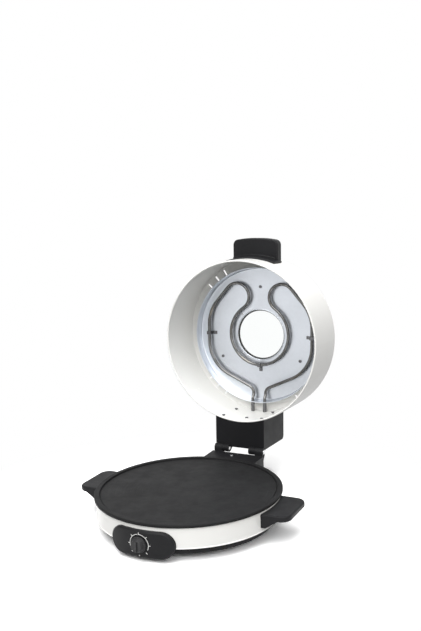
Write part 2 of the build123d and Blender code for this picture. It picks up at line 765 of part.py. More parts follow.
def thermostat_screws():
    length = THERMO_FACE_Y + THERMO_SCREW_BITE - PANEL_SINK_Y
    screw = pan_head(SCREW_R, SCREW_HEAD_R, SCREW_HEAD_H, length)
    return joined([Pos(x, PANEL_SINK_Y, KNOB_Z) * Rot(-90, 0, 0) * screw for x in thermostat_screw_xs()])


def sensor_plunger():
    y = THERMO_FACE_Y + THERMO_DEPTH / 2
    return upright(PLUNGER_R, KNOB_Z + THERMO_H / 2, PLATE_UNDER_Z - SEAT, 0, y)


def knob_back_y():
    return PANEL_FACE_Y - KNOB_GAP


def shaft_tip_y():
    """Front end of the shaft, inside the knob."""
    return knob_back_y() - KNOB_BORE_DEPTH


def control_knob():
    body = spun([
        (0, 0),
        (KNOB_SKIRT_R, 0),
        (KNOB_SKIRT_R, KNOB_SKIRT_H, KNOB_EDGE),
        (KNOB_BASE_R, KNOB_SKIRT_H, KNOB_FLARE_ROUND),
        (KNOB_TOP_R, KNOB_H, KNOB_EDGE),
        (0, KNOB_H),
    ])
    grip_top = KNOB_H + KNOB_GRIP_H
    grip = Pos(0, 0, KNOB_H) * Box(KNOB_GRIP_W, 2 * KNOB_TOP_R, 2 * KNOB_GRIP_H)
    grip &= upright(KNOB_TOP_R - KNOB_EDGE, 0, grip_top)
    body += grip
    bore = upright(SHAFT_R + PRESS, 0, KNOB_BORE_DEPTH + SEAT)
    flat_y = (SHAFT_R - SHAFT_FLAT + PRESS, 2 * SHAFT_R)
    bore -= block((-SHAFT_R, SHAFT_R), flat_y, (-PAST, 2 * KNOB_BORE_DEPTH))
    return Pos(0, knob_back_y(), KNOB_Z) * Rot(90, 0, 0) * (body - bore)


def knob_shaft():
    back = THERMO_FACE_Y + THERMO_BORE_DEPTH - SEAT
    length = back - shaft_tip_y()
    shaft = upright(SHAFT_R, 0, length)
    flat_y = (SHAFT_R - SHAFT_FLAT, 2 * SHAFT_R)
    shaft -= block((-SHAFT_R, SHAFT_R), flat_y, (length - KNOB_BORE_DEPTH, length + PAST))
    return Pos(0, back, KNOB_Z) * Rot(90, 0, 0) * shaft


def handle_screw_z():
    return HANDLE_TOP_Z - HANDLE_ROOT_H / 2


def handle_screw_angles():
    """Angles from +X of the right handle's screws."""
    return [-HANDLE_SCREW_ANGLE, HANDLE_SCREW_ANGLE]


def right_handle():
    outer_x = BAND_R + HANDLE_REACH
    plan = outline([
        (0, -HANDLE_HALF_W),
        (outer_x, -HANDLE_HALF_W, HANDLE_CORNER),
        (outer_x, HANDLE_HALF_W, HANDLE_CORNER),
        (0, HANDLE_HALF_W),
    ])
    slab_low = HANDLE_TOP_Z - HANDLE_T
    slab = extrude(Pos(0, 0, slab_low) * plan, HANDLE_T, dir=(0, 0, 1))
    outer_edges = [e for e in slab.edges() if e.center().X > PAST and abs(e.tangent_at(0).Z) < 0.5]
    slab = fillet(outer_edges, HANDLE_EDGE)
    root_low = HANDLE_TOP_Z - HANDLE_ROOT_H
    root_tip = BAND_R + HANDLE_ROOT_REACH
    wedge = outline([
        (0, root_low),
        (BAND_R + HANDLE_ROOT_FLAT, root_low),
        (root_tip, slab_low + HANDLE_ROOT_SINK, HANDLE_ROOT_BEND_R),
        (root_tip + HANDLE_ROOT_FADE, slab_low + 2 * HANDLE_ROOT_SINK),
        (root_tip + HANDLE_ROOT_FADE, slab_low + HANDLE_EDGE),
        (0, slab_low + HANDLE_EDGE),
    ])
    root = extrude(Plane.XZ * wedge, HANDLE_HALF_W, both=True)
    handle = slab + root
    handle -= upright(BAND_R + SEAT, root_low - PAST, HANDLE_TOP_Z + PAST)
    for angle in handle_screw_angles():
        bore = upright(HANDLE_SCREW_R + PRESS, 0, HANDLE_SCREW_LENGTH + SEAT)
        handle -= outward(bore, angle, BAND_INNER_R, handle_screw_z())
    return handle


def left_handle():
    return mirror(right_handle(), Plane.YZ)


def handle_screws():
    screw = pan_head(HANDLE_SCREW_R, HANDLE_SCREW_HEAD_R, HANDLE_SCREW_HEAD_H, HANDLE_SCREW_LENGTH)
    screws = []
    for angle in handle_screw_angles():
        screws += mirrored(outward(screw, angle, BAND_INNER_R - SEAT, handle_screw_z()))
    return joined(screws)


def across(shape_yz, x_low, x_high):
    """Face drawn in Y and Z carried along X."""
    start = Plane(origin=(x_low, 0, 0), x_dir=(0, 1, 0), z_dir=(1, 0, 0))
    return extrude(start * shape_yz, x_high - x_low, dir=(1, 0, 0))


def barrel(radius, x_low, x_high):
    """Cylinder on the hinge axis."""
    return Pos(x_low, HINGE_Y, HINGE_Z) * Rot(0, 90, 0) * upright(radius, 0, x_high - x_low)


def bracket_screw_places():
    top = BRACKET_TOP_Z - BRACKET_SCREW_BELOW_TOP
    return [(x, z) for x in (-BRACKET_SCREW_X, BRACKET_SCREW_X) for z in (top, top - BRACKET_SCREW_PITCH)]


def bracket_inner_front_y():
    return BAND_R + BRACKET_FRONT_WALL


def bracket_screw_seat_y():
    """Inside face of the curved band at a bracket screw."""
    return sqrt(BAND_INNER_R ** 2 - (BRACKET_SCREW_X + SCREW_HEAD_R) ** 2) - SEAT


def hinge_bracket():
    low = PAN_Z
    body = block((-BRACKET_HALF_W, BRACKET_HALF_W), (0, BRACKET_BACK_Y), (low, BRACKET_TOP_Z))
    above_foot = [e for e in body.edges() if e.center().Z > low + PAST]
    body = fillet([e for e in above_foot if e.center().Y > BRACKET_BACK_Y - PAST], BRACKET_EDGE)
    body -= upright(BEAD_OUTER_R + SEAT, low - PAST, BRACKET_TOP_Z + PAST)
    body -= upright(PLATE_R + SEAT, RIM_Z - PLATE_LIP_H - SEAT, BRACKET_TOP_Z + PAST)
    inner_x = BRACKET_HALF_W - BRACKET_WALL
    inner_back = BRACKET_BACK_Y - BRACKET_WALL
    roof = BRACKET_TOP_Z - BRACKET_WALL
    body -= block((-inner_x, inner_x), (bracket_inner_front_y(), inner_back), (low - PAST, roof))
    for x, y in BRACKET_FOOT_PLACES:
        body += upright(BRACKET_COLUMN_R, low, roof + PAST, x, y)
    for x, y in BRACKET_FOOT_PLACES:
        body -= upright(FOOT_BARB_R + SCREW_PLAY, low, low + FOOT_BARB_H + 2 * PAN_T, x, y)
    web = outline([
        (HINGE_Y - BARREL_R, HINGE_Z),
        (HINGE_Y - BARREL_R, BRACKET_TOP_Z - PAST),
        (inner_back, BRACKET_TOP_Z - PAST),
        (inner_back, HINGE_Z - LUG_WEB_DROP - LUG_WEB_FOOT),
        (BRACKET_BACK_Y - EDGE_ROUND, HINGE_Z - LUG_WEB_DROP - LUG_WEB_FOOT),
        (HINGE_Y + BARREL_R, HINGE_Z - LUG_WEB_BEND_DROP, LUG_WEB_BEND_R),
        (HINGE_Y + BARREL_R, HINGE_Z),
    ])
    for x_low, x_high in ((-LUG_OUTER_X, -LUG_INNER_X), (LUG_INNER_X, LUG_OUTER_X)):
        body += barrel(BARREL_R, x_low, x_high) + across(web, x_low, x_high)
        body -= barrel(PIN_R + PRESS, x_low - PAST, x_high + PAST)
    for x, z in bracket_screw_places():
        through = upright(SCREW_R + SCREW_PLAY, 0, bracket_inner_front_y())
        body -= Pos(x, PAST, z) * Rot(-90, 0, 0) * through
    top_y = BRACKET_BACK_Y - TOP_SCREW_SET
    body -= upright(SCREW_R + SCREW_PLAY, roof - PAST, BRACKET_TOP_Z + PAST, TOP_SCREW_X, top_y)
    gland_hole = upright(GLAND_R - GLAND_GROOVE, 0, 3 * BRACKET_WALL)
    body -= Pos(0, inner_back - BRACKET_WALL, GLAND_ABOVE_FLOOR) * Rot(-90, 0, 0) * gland_hole
    body -= outward(upright(GLAND_R, 0, BRACKET_DEPTH / 2), 90, BAND_R, GLAND_ABOVE_FLOOR + GLAND_R)
    return body


def bracket_stay():
    front = bracket_inner_front_y()
    roof = BRACKET_TOP_Z - BRACKET_WALL
    half = STAY_HALF_W
    leg = block((-half, half), (front, front + STAY_T), (roof - STAY_LEG, roof))
    top = block((-half, half), (front, front + STAY_TOP_LEG), (roof - STAY_T, roof))
    stay = leg + top
    for x, z in bracket_screw_places():
        hole = upright(SCREW_R + PRESS, -PAST, 2 * STAY_T)
        stay -= Pos(x, front, z) * Rot(-90, 0, 0) * hole
    top_y = BRACKET_BACK_Y - TOP_SCREW_SET
    stay -= upright(SCREW_R + PRESS, roof - 2 * STAY_T, roof + PAST, TOP_SCREW_X, top_y)
    return stay


def bracket_screws():
    seat = bracket_screw_seat_y()
    length = bracket_inner_front_y() + STAY_T - seat + BRACKET_SCREW_TIP
    screw = pan_head(SCREW_R, SCREW_HEAD_R, SCREW_HEAD_H, length)
    return joined([Pos(x, seat, z) * Rot(-90, 0, 0) * screw for x, z in bracket_screw_places()])


def bracket_top_screw():
    screw = pan_head(SCREW_R, SCREW_HEAD_R, SCREW_HEAD_H, TOP_SCREW_LENGTH)
    return Pos(TOP_SCREW_X, BRACKET_BACK_Y - TOP_SCREW_SET, BRACKET_TOP_Z) * Rot(180, 0, 0) * screw


def hinge_pins():
    length = LUG_OUTER_X - LID_LUG_INNER_X
    pin = spun([
        (0, 0),
        (PIN_R, 0, EDGE_ROUND),
        (PIN_R, length),
        (PIN_HEAD_R, length),
        (PIN_HEAD_R, length + PIN_HEAD_H, PIN_HEAD_ROUND),
        (0, length + PIN_HEAD_H),
    ])
    placed = Pos(LID_LUG_INNER_X, HINGE_Y, HINGE_Z) * Rot(0, 90, 0) * pin
    return joined(mirrored(placed))


def cord_gland():
    wall = BRACKET_WALL
    inside = -GLAND_LENGTH / 2
    profile = spun([
        (GLAND_BORE_R, inside),
        (GLAND_R, inside, GLAND_ROUND),
        (GLAND_R, -SEAT),
        (GLAND_R - GLAND_GROOVE - SEAT, -SEAT),
        (GLAND_R - GLAND_GROOVE - SEAT, wall + SEAT),
        (GLAND_R, wall + SEAT),
        (GLAND_R - GLAND_TAPER, GLAND_LENGTH, GLAND_ROUND),
        (GLAND_BORE_R, GLAND_LENGTH),
    ])
    return Pos(0, BRACKET_BACK_Y - wall, GLAND_ABOVE_FLOOR) * Rot(-90, 0, 0) * profile


def terminal_block():
    low = PAN_Z + PAN_T
    y = BLOCK_TERMINAL_Y
    half_w, half_d = BLOCK_TERMINAL_W / 2, BLOCK_TERMINAL_D / 2
    body = block((-half_w, half_w), (y - half_d, y + half_d), (low, low + BLOCK_TERMINAL_H))
    pitch = BLOCK_TERMINAL_W / BLOCK_TERMINAL_BORES
    first = -BLOCK_TERMINAL_W / 2 + pitch / 2
    body -= upright(SCREW_R + PRESS, low - PAST, low + BLOCK_TERMINAL_H / 2, 0, y)
    bore = upright(BLOCK_TERMINAL_BORE_R, -PAST, BLOCK_TERMINAL_D + PAST)
    bore_z = low + BLOCK_TERMINAL_H - BLOCK_TERMINAL_BORE_DROP
    for i in range(BLOCK_TERMINAL_BORES):
        body -= Pos(first + i * pitch, y - half_d, bore_z) * Rot(-90, 0, 0) * bore
    return body


def terminal_block_screw():
    length = PAN_T + BLOCK_TERMINAL_H / 2 - BLOCK_TERMINAL_SCREW_TIP
    screw = pan_head(SCREW_R, SCREW_HEAD_R, SCREW_HEAD_H, length)
    return Pos(0, BLOCK_TERMINAL_Y, PAN_Z) * screw


# Lid pieces, drawn on the closed lid

def vent_slot(angle):
    """Radial slot in the lid's top; the angle counts from +X with the lid's front upwards."""
    slot = Pos(VENT_INNER_R + VENT_LENGTH / 2, 0, lid_z(LID_DEPTH)) * Box(VENT_LENGTH, VENT_W, 6 * LID_T)
    slot = fillet(slot.edges().filter_by(Axis.Z), VENT_ROUND)
    return turned(slot, -angle)


def lid_shell():
    rim = lid_z(0)
    top = lid_z(LID_DEPTH)
    inner_top = top - LID_T
    shell = spun([
        (LID_INNER_R, rim + HEM_R),
        (LID_R, rim + HEM_R),
        (LID_R, top, LID_CORNER),
        (0, top),
        (0, inner_top),
        (LID_INNER_R, inner_top, LID_CORNER - LID_T),
    ])
    shell += Pos(0, 0, rim + HEM_R) * Torus(LID_R - HEM_R, HEM_R)
    for centre in VENT_GROUPS:
        for i in range(VENTS_IN_GROUP):
            shell -= vent_slot(centre + (i - (VENTS_IN_GROUP - 1) / 2) * VENT_PITCH)
    shell -= upright(GASKET_INNER_R, inner_top - PAST, top + PAST)
    for x, y in WINDOW_SCREW_PLACES:
        shell -= upright(WINDOW_SCREW_R + PRESS, inner_top - PAST, top + PAST, x, y)
    for x, y in lid_screw_places():
        shell -= upright(SCREW_R + SCREW_PLAY, inner_top - PAST, top + PAST, x, y)
    sleeve_hole = Rot(90, 0, 0) * Cylinder(SLEEVE_R + SCREW_PLAY, 20 * LID_T)
    for x in (-TERMINAL_X, TERMINAL_X):
        shell -= Pos(x, LID_R, lid_z(TERMINAL_DEPTH)) * sleeve_hole
    block_hole = Rot(90, 0, 0) * Cylinder(SCREW_R + SCREW_PLAY, 40 * LID_T)
    for x, depth in BLOCK_SCREWS:
        shell -= Pos(x, LID_R, lid_z(depth)) * block_hole
    grip_hole = Cylinder(HANDLE_SCREW_R + SCREW_PLAY, 6 * LID_T)
    for angle in grip_screw_angles():
        shell -= outward(grip_hole, angle, LID_R, lid_z(GRIP_SCREW_DEPTH))
    return shell


def window_gasket():
    low = lid_z(LID_DEPTH)
    return tube(GLASS_R, GASKET_INNER_R, low, low + GASKET_T)


def window_glass():
    low = lid_z(LID_DEPTH) + GASKET_T
    return upright(GLASS_R, low, low + GLASS_T)


def window_ring():
    low = lid_z(LID_DEPTH)
    cover_low = low + GASKET_T + GLASS_T + SEAT
    top = cover_low + WINDOW_RING_T
    ring = spun([
        (GLASS_R + SEAT, low),
        (WINDOW_RING_R, low),
        (WINDOW_RING_R, top, 3 * WINDOW_RING_EDGE),
        (WINDOW_SIGHT_R, top, WINDOW_RING_EDGE),
        (WINDOW_SIGHT_R, cover_low),
        (GLASS_R + SEAT, cover_low),
    ])
    for x, y in WINDOW_SCREW_PLACES:
        ring -= upright(WINDOW_SCREW_R + PRESS, low - PAST, low + WINDOW_SCREW_BITE, x, y)
    return ring


def window_ring_screws():
    low = lid_z(LID_DEPTH) - LID_T - REFLECTOR_T
    screw = pan_head(WINDOW_SCREW_R, WINDOW_SCREW_HEAD_R, WINDOW_SCREW_HEAD_H, WINDOW_SCREW_LENGTH)
    return joined([Pos(x, y, low) * screw for x, y in WINDOW_SCREW_PLACES])


def lid_reflector():
    outer_z = lid_z(LID_INSIDE_DEPTH)
    inner_z = outer_z - REFLECTOR_T
    lip_z = lid_z(LIP_DEPTH)
    hole_r = WINDOW_SIGHT_R + REFLECTOR_HOLE_MARGIN
    flare_r = REFLECTOR_R + REFLECTOR_FLARE
    dish = spun([
        (hole_r, outer_z),
        (hole_r, inner_z),
        (REFLECTOR_R - REFLECTOR_T, inner_z, REFLECTOR_CORNER - REFLECTOR_T),
        (flare_r - REFLECTOR_T, lip_z + REFLECTOR_LIP_R),
        (flare_r, lip_z + REFLECTOR_LIP_R),
        (REFLECTOR_R, outer_z, REFLECTOR_CORNER),
    ])
    lip_r = flare_r - REFLECTOR_T + REFLECTOR_LIP_R
    dish += Pos(0, 0, lip_z + REFLECTOR_LIP_R) * Torus(lip_r, REFLECTOR_LIP_R)
    bead = Pos(0, 0, inner_z + SEAT) * Torus(hole_r + REFLECTOR_LIP_R, REFLECTOR_LIP_R)
    dish += bead & upright(PLATE_R, 0, outer_z)
    for x, y in lid_screw_places():
        dish -= upright(SCREW_R + SCREW_PLAY, inner_z - PAST, outer_z + PAST, x, y)
    for x, y in WINDOW_SCREW_PLACES:
        dish -= upright(WINDOW_SCREW_R + SCREW_PLAY, inner_z - PAST, outer_z + PAST, x, y)
    sleeve_hole = Rot(90, 0, 0) * Cylinder(SLEEVE_R + SCREW_PLAY, 4 * REFLECTOR_CORNER)
    for x in (-TERMINAL_X, TERMINAL_X):
        dish -= Pos(x, REFLECTOR_R, lid_z(TERMINAL_DEPTH)) * sleeve_hole
    return dish


def tangent_run(first, second):
    """Ends of the straight run between two bends of a tube.

    A bend is (centre x, centre y, radius, side), side 1 where the tube turns left, -1 right.
    """
    x1, y1, r1, side1 = first
    x2, y2, r2, side2 = second
    away = Vector(x2 - x1, y2 - y1)
    heading = atan2(away.Y, away.X) - asin((side2 * r2 - side1 * r1) / away.length)
    left = Vector(-sin(heading), cos(heading))
    return Vector(x1, y1) - left * side1 * r1, Vector(x2, y2) - left * side2 * r2


def upper_bends():
    """Bends of the upper element's right half, from its terminal to the loop round the window."""
    loop_y = -INNER_LOOP_SHIFT
    apart = LOBE_R + INNER_LOOP_R + LOBE_RUN
    lobe_y = loop_y - sqrt(apart ** 2 - LOBE_X ** 2)
    bow_x = BOW_REACH - BOW_R
    return [
        (TERMINAL_X + ENTRY_BEND_R, ENTRY_BEND_Y, ENTRY_BEND_R, 1),
        (bow_x, BOW_STRAIGHT_HALF, BOW_R, -1),
        (bow_x, -BOW_STRAIGHT_HALF, BOW_R, -1),
        (LOBE_X, lobe_y, LOBE_R, -1),
        (0.0, loop_y, INNER_LOOP_R, 1),
    ]


def bend_arc(start, end, bend):
    """Arc of a bend from one point to another, on the side that the tube turns."""
    x, y, radius, side = bend
    a0 = atan2(start.Y - y, start.X - x)
    a1 = atan2(end.Y - y, end.X - x)
    sweep_angle = (a1 - a0) * side % (2 * pi)
    middle = a0 + side * sweep_angle / 2
    return ThreePointArc(start, Vector(x + radius * cos(middle), y + radius * sin(middle)), end)


def element_end_y():
    return LID_R + SLEEVE_OUTSIDE + ELEMENT_TAIL


def entry_lean():
    """Steepest angle of the S-bend, in radians."""
    return acos(1 - ENTRY_DROP / (2 * ENTRY_RAMP_R))


def straight_tail_y():
    """Where the element's straight tail starts, beyond the S-bend."""
    return ENTRY_BEND_Y + 2 * ENTRY_RAMP_R * sin(entry_lean())


def entry_run():
    """Straight tail and S-bend of the upper element's right end, from the terminal to the first bend."""
    low, high = lid_z(TERMINAL_DEPTH), lid_z(ELEMENT_DEPTH)
    side = ENTRY_RAMP_R * sin(entry_lean() / 2)
    rise = ENTRY_RAMP_R * (1 - cos(entry_lean() / 2))

    def at(y, z):
        return Vector(TERMINAL_X, y, z)

    inner, outer = ENTRY_BEND_Y, straight_tail_y()
    middle = at((inner + outer) / 2, (low + high) / 2)
    return [
        Line(at(element_end_y(), low), at(outer, low)),
        ThreePointArc(at(outer, low), at(outer - side, low + rise), middle),
        ThreePointArc(middle, at(inner + side, high - rise), at(inner, high)),
    ]


def lid_element():
    lift = Pos(0, 0, lid_z(ELEMENT_DEPTH))
    bends = upper_bends()
    runs = [tangent_run(bends[i], bends[i + 1]) for i in range(len(bends) - 1)]
    right = entry_run()
    here = Vector(TERMINAL_X, ENTRY_BEND_Y)
    for bend, (leave, arrive) in zip(bends, runs):
        right.append(lift * bend_arc(here, leave, bend))
        right.append(lift * Line(leave, arrive))
        here = arrive
    loop_top = Vector(0, INNER_LOOP_R - INNER_LOOP_SHIFT)
    loop = lift * ThreePointArc(here, loop_top, Vector(-here.X, here.Y))
    left = [mirror(edge, Plane.YZ).edge() for edge in right]
    section = Plane(origin=right[0] @ 0, z_dir=(0, -1, 0))
    return sweep(section * Circle(UPPER_TUBE_R), Wire(right + [loop] + left))


def terminal_sleeves():
    start = straight_tail_y() + SLEEVE_AFTER_BEND
    sleeve = tube(SLEEVE_R, UPPER_TUBE_R + PRESS, 0, LID_R + SLEEVE_OUTSIDE - start)
    placed = Pos(TERMINAL_X, start, lid_z(TERMINAL_DEPTH)) * Rot(-90, 0, 0) * sleeve
    return joined(mirrored(placed))


def terminal_insulators():
    placed = Pos(TERMINAL_X, element_end_y(), lid_z(TERMINAL_DEPTH)) * Rot(-90, 0, 0)
    return joined(mirrored(placed * upright(INSULATOR_R, 0, INSULATOR_L)))


def terminal_tabs():
    start = element_end_y() + INSULATOR_L
    z = lid_z(TERMINAL_DEPTH)
    across_x = (TERMINAL_X - TAB_W / 2, TERMINAL_X + TAB_W / 2)
    tab = block(across_x, (start, start + TAB_L), (z - TAB_T / 2, z + TAB_T / 2))
    tab -= upright(TAB_HOLE_R, z - TAB_T, z + TAB_T, TERMINAL_X, start + TAB_L - TAB_HOLE_SET)
    return joined(mirrored(tab))


def clip_reach():
    """Distance from the tube's centre line to the clip's screw."""
    return UPPER_TUBE_R + CLIP_PLAY + CLIP_T + CLIP_FOOT / 2


def clip_places():
    """(x, y, direction from the tube to the screw in degrees) of each clip."""
    loop_top = INNER_LOOP_R - INNER_LOOP_SHIFT
    return [
        (BOW_REACH, CLIP_SIDE_Y, 180.0),
        (-BOW_REACH, CLIP_SIDE_Y, 0.0),
        (0.0, loop_top, 90.0),
    ]


def clip_screw_places():
    reach = clip_reach()
    return [(x + reach * cos(radians(a)), y + reach * sin(radians(a))) for x, y, a in clip_places()]


def reflector_screw_places():
    x, y = REFLECTOR_SCREW_SIDE
    return [(0.0, REFLECTOR_SCREW_FRONT_Y), (x, y), (-x, y)]


def lid_screw_places():
    return reflector_screw_places() + clip_screw_places()


def clip_profile():
    """Hook that lies flat on the reflector, rises beside the tube and passes over it."""
    hook = UPPER_TUBE_R + CLIP_PLAY
    out = hook + CLIP_T
    over = UPPER_STANDOFF + hook
    lip = over - CLIP_LIP
    return outline([
        (out + CLIP_FOOT, 0),
        (hook, 0),
        (hook, -over),
        (-hook, -over),
        (-hook, -lip),
        (-out, -lip),
        (-out, -over - CLIP_T),
        (out, -over - CLIP_T),
        (out, -CLIP_T),
        (out + CLIP_FOOT, -CLIP_T),
    ])


def element_clips():
    z = lid_z(DISC_DEPTH) - SEAT
    hook = extrude(Plane.XZ * clip_profile(), CLIP_W / 2, both=True)
    hook -= upright(SCREW_R + SCREW_PLAY, -2 * CLIP_T, CLIP_T, clip_reach(), 0)
    return joined([Pos(x, y, z) * Rot(0, 0, angle) * hook for x, y, angle in clip_places()])


def lid_screws():
    seat = lid_z(DISC_DEPTH) - SEAT
    plain = pan_head(SCREW_R, SCREW_HEAD_R, SCREW_HEAD_H, LID_SCREW_LENGTH)
    screws = [Pos(x, y, seat) * plain for x, y in reflector_screw_places()]
    screws += [Pos(x, y, seat - CLIP_T) * plain for x, y in clip_screw_places()]
    return joined(screws)


def lid_nuts():
    low = lid_z(LID_DEPTH)
    nut = spun([
        (SCREW_R + PRESS, low),
        (LID_NUT_R, low),
        (LID_NUT_R, low + LID_NUT_H, EDGE_ROUND),
        (SCREW_R + PRESS, low + LID_NUT_H),
    ])
    return joined([Pos(x, y, 0) * nut for x, y in lid_screw_places()])


def grip_screw_angles():
    return [-90.0 - GRIP_SCREW_ANGLE, -90.0 + GRIP_SCREW_ANGLE]


def grip_plan():
    """The grip seen from above: straight sides, rounded corners and a slightly bowed front edge."""
    front = -(LID_R + GRIP_REACH)
    side = front + GRIP_BOW
    return outline([
        (-GRIP_HALF_W, 0),
        (-GRIP_HALF_W, side, GRIP_CORNER),
        (-GRIP_BOW_HALF_W, front, GRIP_BOW_R),
        (GRIP_BOW_HALF_W, front, GRIP_BOW_R),
        (GRIP_HALF_W, side, GRIP_CORNER),
        (GRIP_HALF_W, 0),
    ])


def collar():
    """Sector of a sleeve round the drum that the grip stands on, thinned towards its near edge."""
    near, far = lid_z(COLLAR_DEPTH_NEAR), lid_z(COLLAR_DEPTH_FAR)
    sleeve = spun([
        (0, near),
        (LID_R, near),
        (LID_R + COLLAR_T, near + COLLAR_SLOPE, COLLAR_T),
        (LID_R + COLLAR_T, far, EDGE_ROUND),
        (0, far),
    ])
    side = 2 * LID_R
    left = turned(block((0, side), (0, side), (near, far)), -90.0 - COLLAR_ANGLE)
    right = turned(block((0, side), (-side, 0), (near, far)), -90.0 + COLLAR_ANGLE)
    return sleeve & left & right


def ridge():
    """Rounded step along the grip's foot, on the side towards the lid's rim."""
    high = lid_z(GRIP_DEPTH_NEAR) + PAST
    low = high - PAST - RIDGE_RISE
    radius = LID_R + RIDGE_STAND
    step = spun([(0, low), (radius, low, RIDGE_ROUND), (radius, high), (0, high)])
    half = GRIP_HALF_W - GRIP_EDGE
    return step & block((-half, half), (-2 * LID_R, 0), (low, high))


def lid_handle():
    near, far = lid_z(GRIP_DEPTH_NEAR), lid_z(GRIP_DEPTH_FAR)
    grip = extrude(Pos(0, 0, near) * grip_plan(), far - near, dir=(0, 0, 1))
    outer_edges = [e for e in grip.edges() if e.center().Y < -PAST and abs(e.tangent_at(0).Z) < 0.5]
    body = fillet(outer_edges, GRIP_EDGE) + collar() + ridge()
    body -= upright(LID_R + SEAT, lid_z(COLLAR_DEPTH_NEAR) - PAST, far + PAST)
    for angle in grip_screw_angles():
        bore = upright(HANDLE_SCREW_R + PRESS, 0, GRIP_SCREW_LENGTH + SEAT)
        body -= outward(bore, angle, LID_INNER_R, lid_z(GRIP_SCREW_DEPTH))
    return body


def lid_handle_screws():
    screw = pan_head(HANDLE_SCREW_R, HANDLE_SCREW_HEAD_R, HANDLE_SCREW_HEAD_H, GRIP_SCREW_LENGTH)
    seat, z = LID_INNER_R - SEAT, lid_z(GRIP_SCREW_DEPTH)
    return joined([outward(screw, angle, seat, z) for angle in grip_screw_angles()])


def lid_hinge_block():
    low, high = lid_z(BLOCK_NEAR), lid_z(BLOCK_FAR)
    body = block((-BLOCK_HALF_W, BLOCK_HALF_W), (0, BLOCK_OUTER_Y), (low, high))
    body = fillet(outer_top_edge(body), BLOCK_BACK_ROUND)
    inner_x = BLOCK_HALF_W - BLOCK_WALL
    inner_y = BLOCK_OUTER_Y - BLOCK_WALL
    pocket = block((-inner_x, inner_x), (0, inner_y), (low + BLOCK_WALL, high - BLOCK_WALL))
    pocket = fillet(outer_top_edge(pocket), BLOCK_BACK_ROUND - BLOCK_WALL)
    notch_r = BARREL_R + MOVING_GAP
    guard_r = notch_r + BLOCK_WALL
    ends = ((-LUG_OUTER_X - PAST, -LUG_INNER_X + MOVING_GAP), (LUG_INNER_X - MOVING_GAP, LUG_OUTER_X + PAST))
    for x_low, x_high in ends:
        pocket -= barrel(guard_r, x_low - BLOCK_WALL, x_high + BLOCK_WALL)
    body -= pocket
    keep = block((-BLOCK_HALF_W, BLOCK_HALF_W), (0, BLOCK_OUTER_Y - PAST), (low + PAST, high - PAST))
    for x, depth in BLOCK_SCREWS:
        body += Pos(x, 0, lid_z(depth)) * Rot(-90, 0, 0) * upright(BLOCK_POST_R, 0, BLOCK_OUTER_Y) & keep
    web = outline([
        (HINGE_Y + BARREL_R, HINGE_Z),
        (HINGE_Y + BARREL_R, HINGE_Z + LUG_WEB_BEND_DROP, LUG_WEB_BEND_R),
        (BLOCK_OUTER_Y - EDGE_ROUND, HINGE_Z + LUG_WEB_DROP),
        (inner_y, HINGE_Z + LUG_WEB_DROP),
        (inner_y, low + EDGE_ROUND),
        (HINGE_Y - BARREL_R, low + EDGE_ROUND),
        (HINGE_Y - BARREL_R, HINGE_Z),
    ])
    for x_low, x_high in ((-LID_LUG_OUTER_X, -LID_LUG_INNER_X), (LID_LUG_INNER_X, LID_LUG_OUTER_X)):
        body += barrel(BARREL_R, x_low, x_high) + across(web, x_low, x_high)
        body -= barrel(PIN_R + RUNNING, x_low - PAST, x_high + PAST)
    for x_low, x_high in ends:
        body -= barrel(notch_r, x_low, x_high)
    body -= upright(LID_R + SEAT, low - PAST, high + PAST)
    for x, depth in BLOCK_SCREWS:
        start = block_screw_seat_y(x)
        bore = upright(SCREW_R + PRESS, 0, BLOCK_SCREW_LENGTH + SEAT)
        body -= Pos(x, start, lid_z(depth)) * Rot(-90, 0, 0) * bore
    return body


def outer_top_edge(box):
    """A box's edge along X that is furthest back and highest."""
    return max(box.edges().filter_by(Axis.X), key=lambda edge: edge.center().Y + edge.center().Z)


def block_screw_seat_y(x):
    """Inside face of the drum at a block screw, clear of the head's outer edge."""
    return sqrt(LID_INNER_R ** 2 - (abs(x) + SCREW_HEAD_R) ** 2) - SEAT


def block_screws():
    screw = Rot(-90, 0, 0) * pan_head(SCREW_R, SCREW_HEAD_R, SCREW_HEAD_H, BLOCK_SCREW_LENGTH)
    return joined([Pos(x, block_screw_seat_y(x), lid_z(depth)) * screw for x, depth in BLOCK_SCREWS])


BASE_PIECES = (
    hot_plate, base_band, bottom_pan, feet, plate_studs, shield_spacers, heat_shield, shield_nuts,
    pan_nuts, lower_element, element_clamps, clamp_screws, control_panel, panel_screws, thermostat,
    thermostat_screws, sensor_plunger, right_handle, left_handle, handle_screws, hinge_bracket,
    bracket_stay, bracket_screws, bracket_top_screw, hinge_pins, cord_gland, terminal_block,
    terminal_block_screw,
)
KNOB_PIECES = (control_knob, knob_shaft)
LID_PIECES = (
    lid_shell, window_gasket, window_glass, window_ring, window_ring_screws, lid_reflector,
    lid_element, terminal_sleeves, terminal_insulators, terminal_tabs, element_clips, lid_screws,
    lid_nuts, lid_handle, lid_handle_screws, lid_hinge_block, block_screws,
)


def opened(shape):
    """Lid piece turned from closed to its open rest position about the hinge pins."""
    return Pos(0, HINGE_Y, HINGE_Z) * Rot(-HINGE_OPEN_ANGLE, 0, 0) * Pos(0, -HINGE_Y, -HINGE_Z) * shape


def assembly():
    """Every piece by name, with the origin at the bottom centre of the open object's box."""
    pieces = {make.__name__: make() for make in BASE_PIECES + KNOB_PIECES}
    pieces.update({make.__name__: opened(make()) for make in LID_PIECES})
    boxes = [piece.bounding_box() for piece in pieces.values()]
    middle_y = (min(b.min.Y for b in boxes) + max(b.max.Y for b in boxes)) / 2
    return {name: Pos(0, -middle_y, 0) * piece for name, piece in pieces.items()}, middle_y


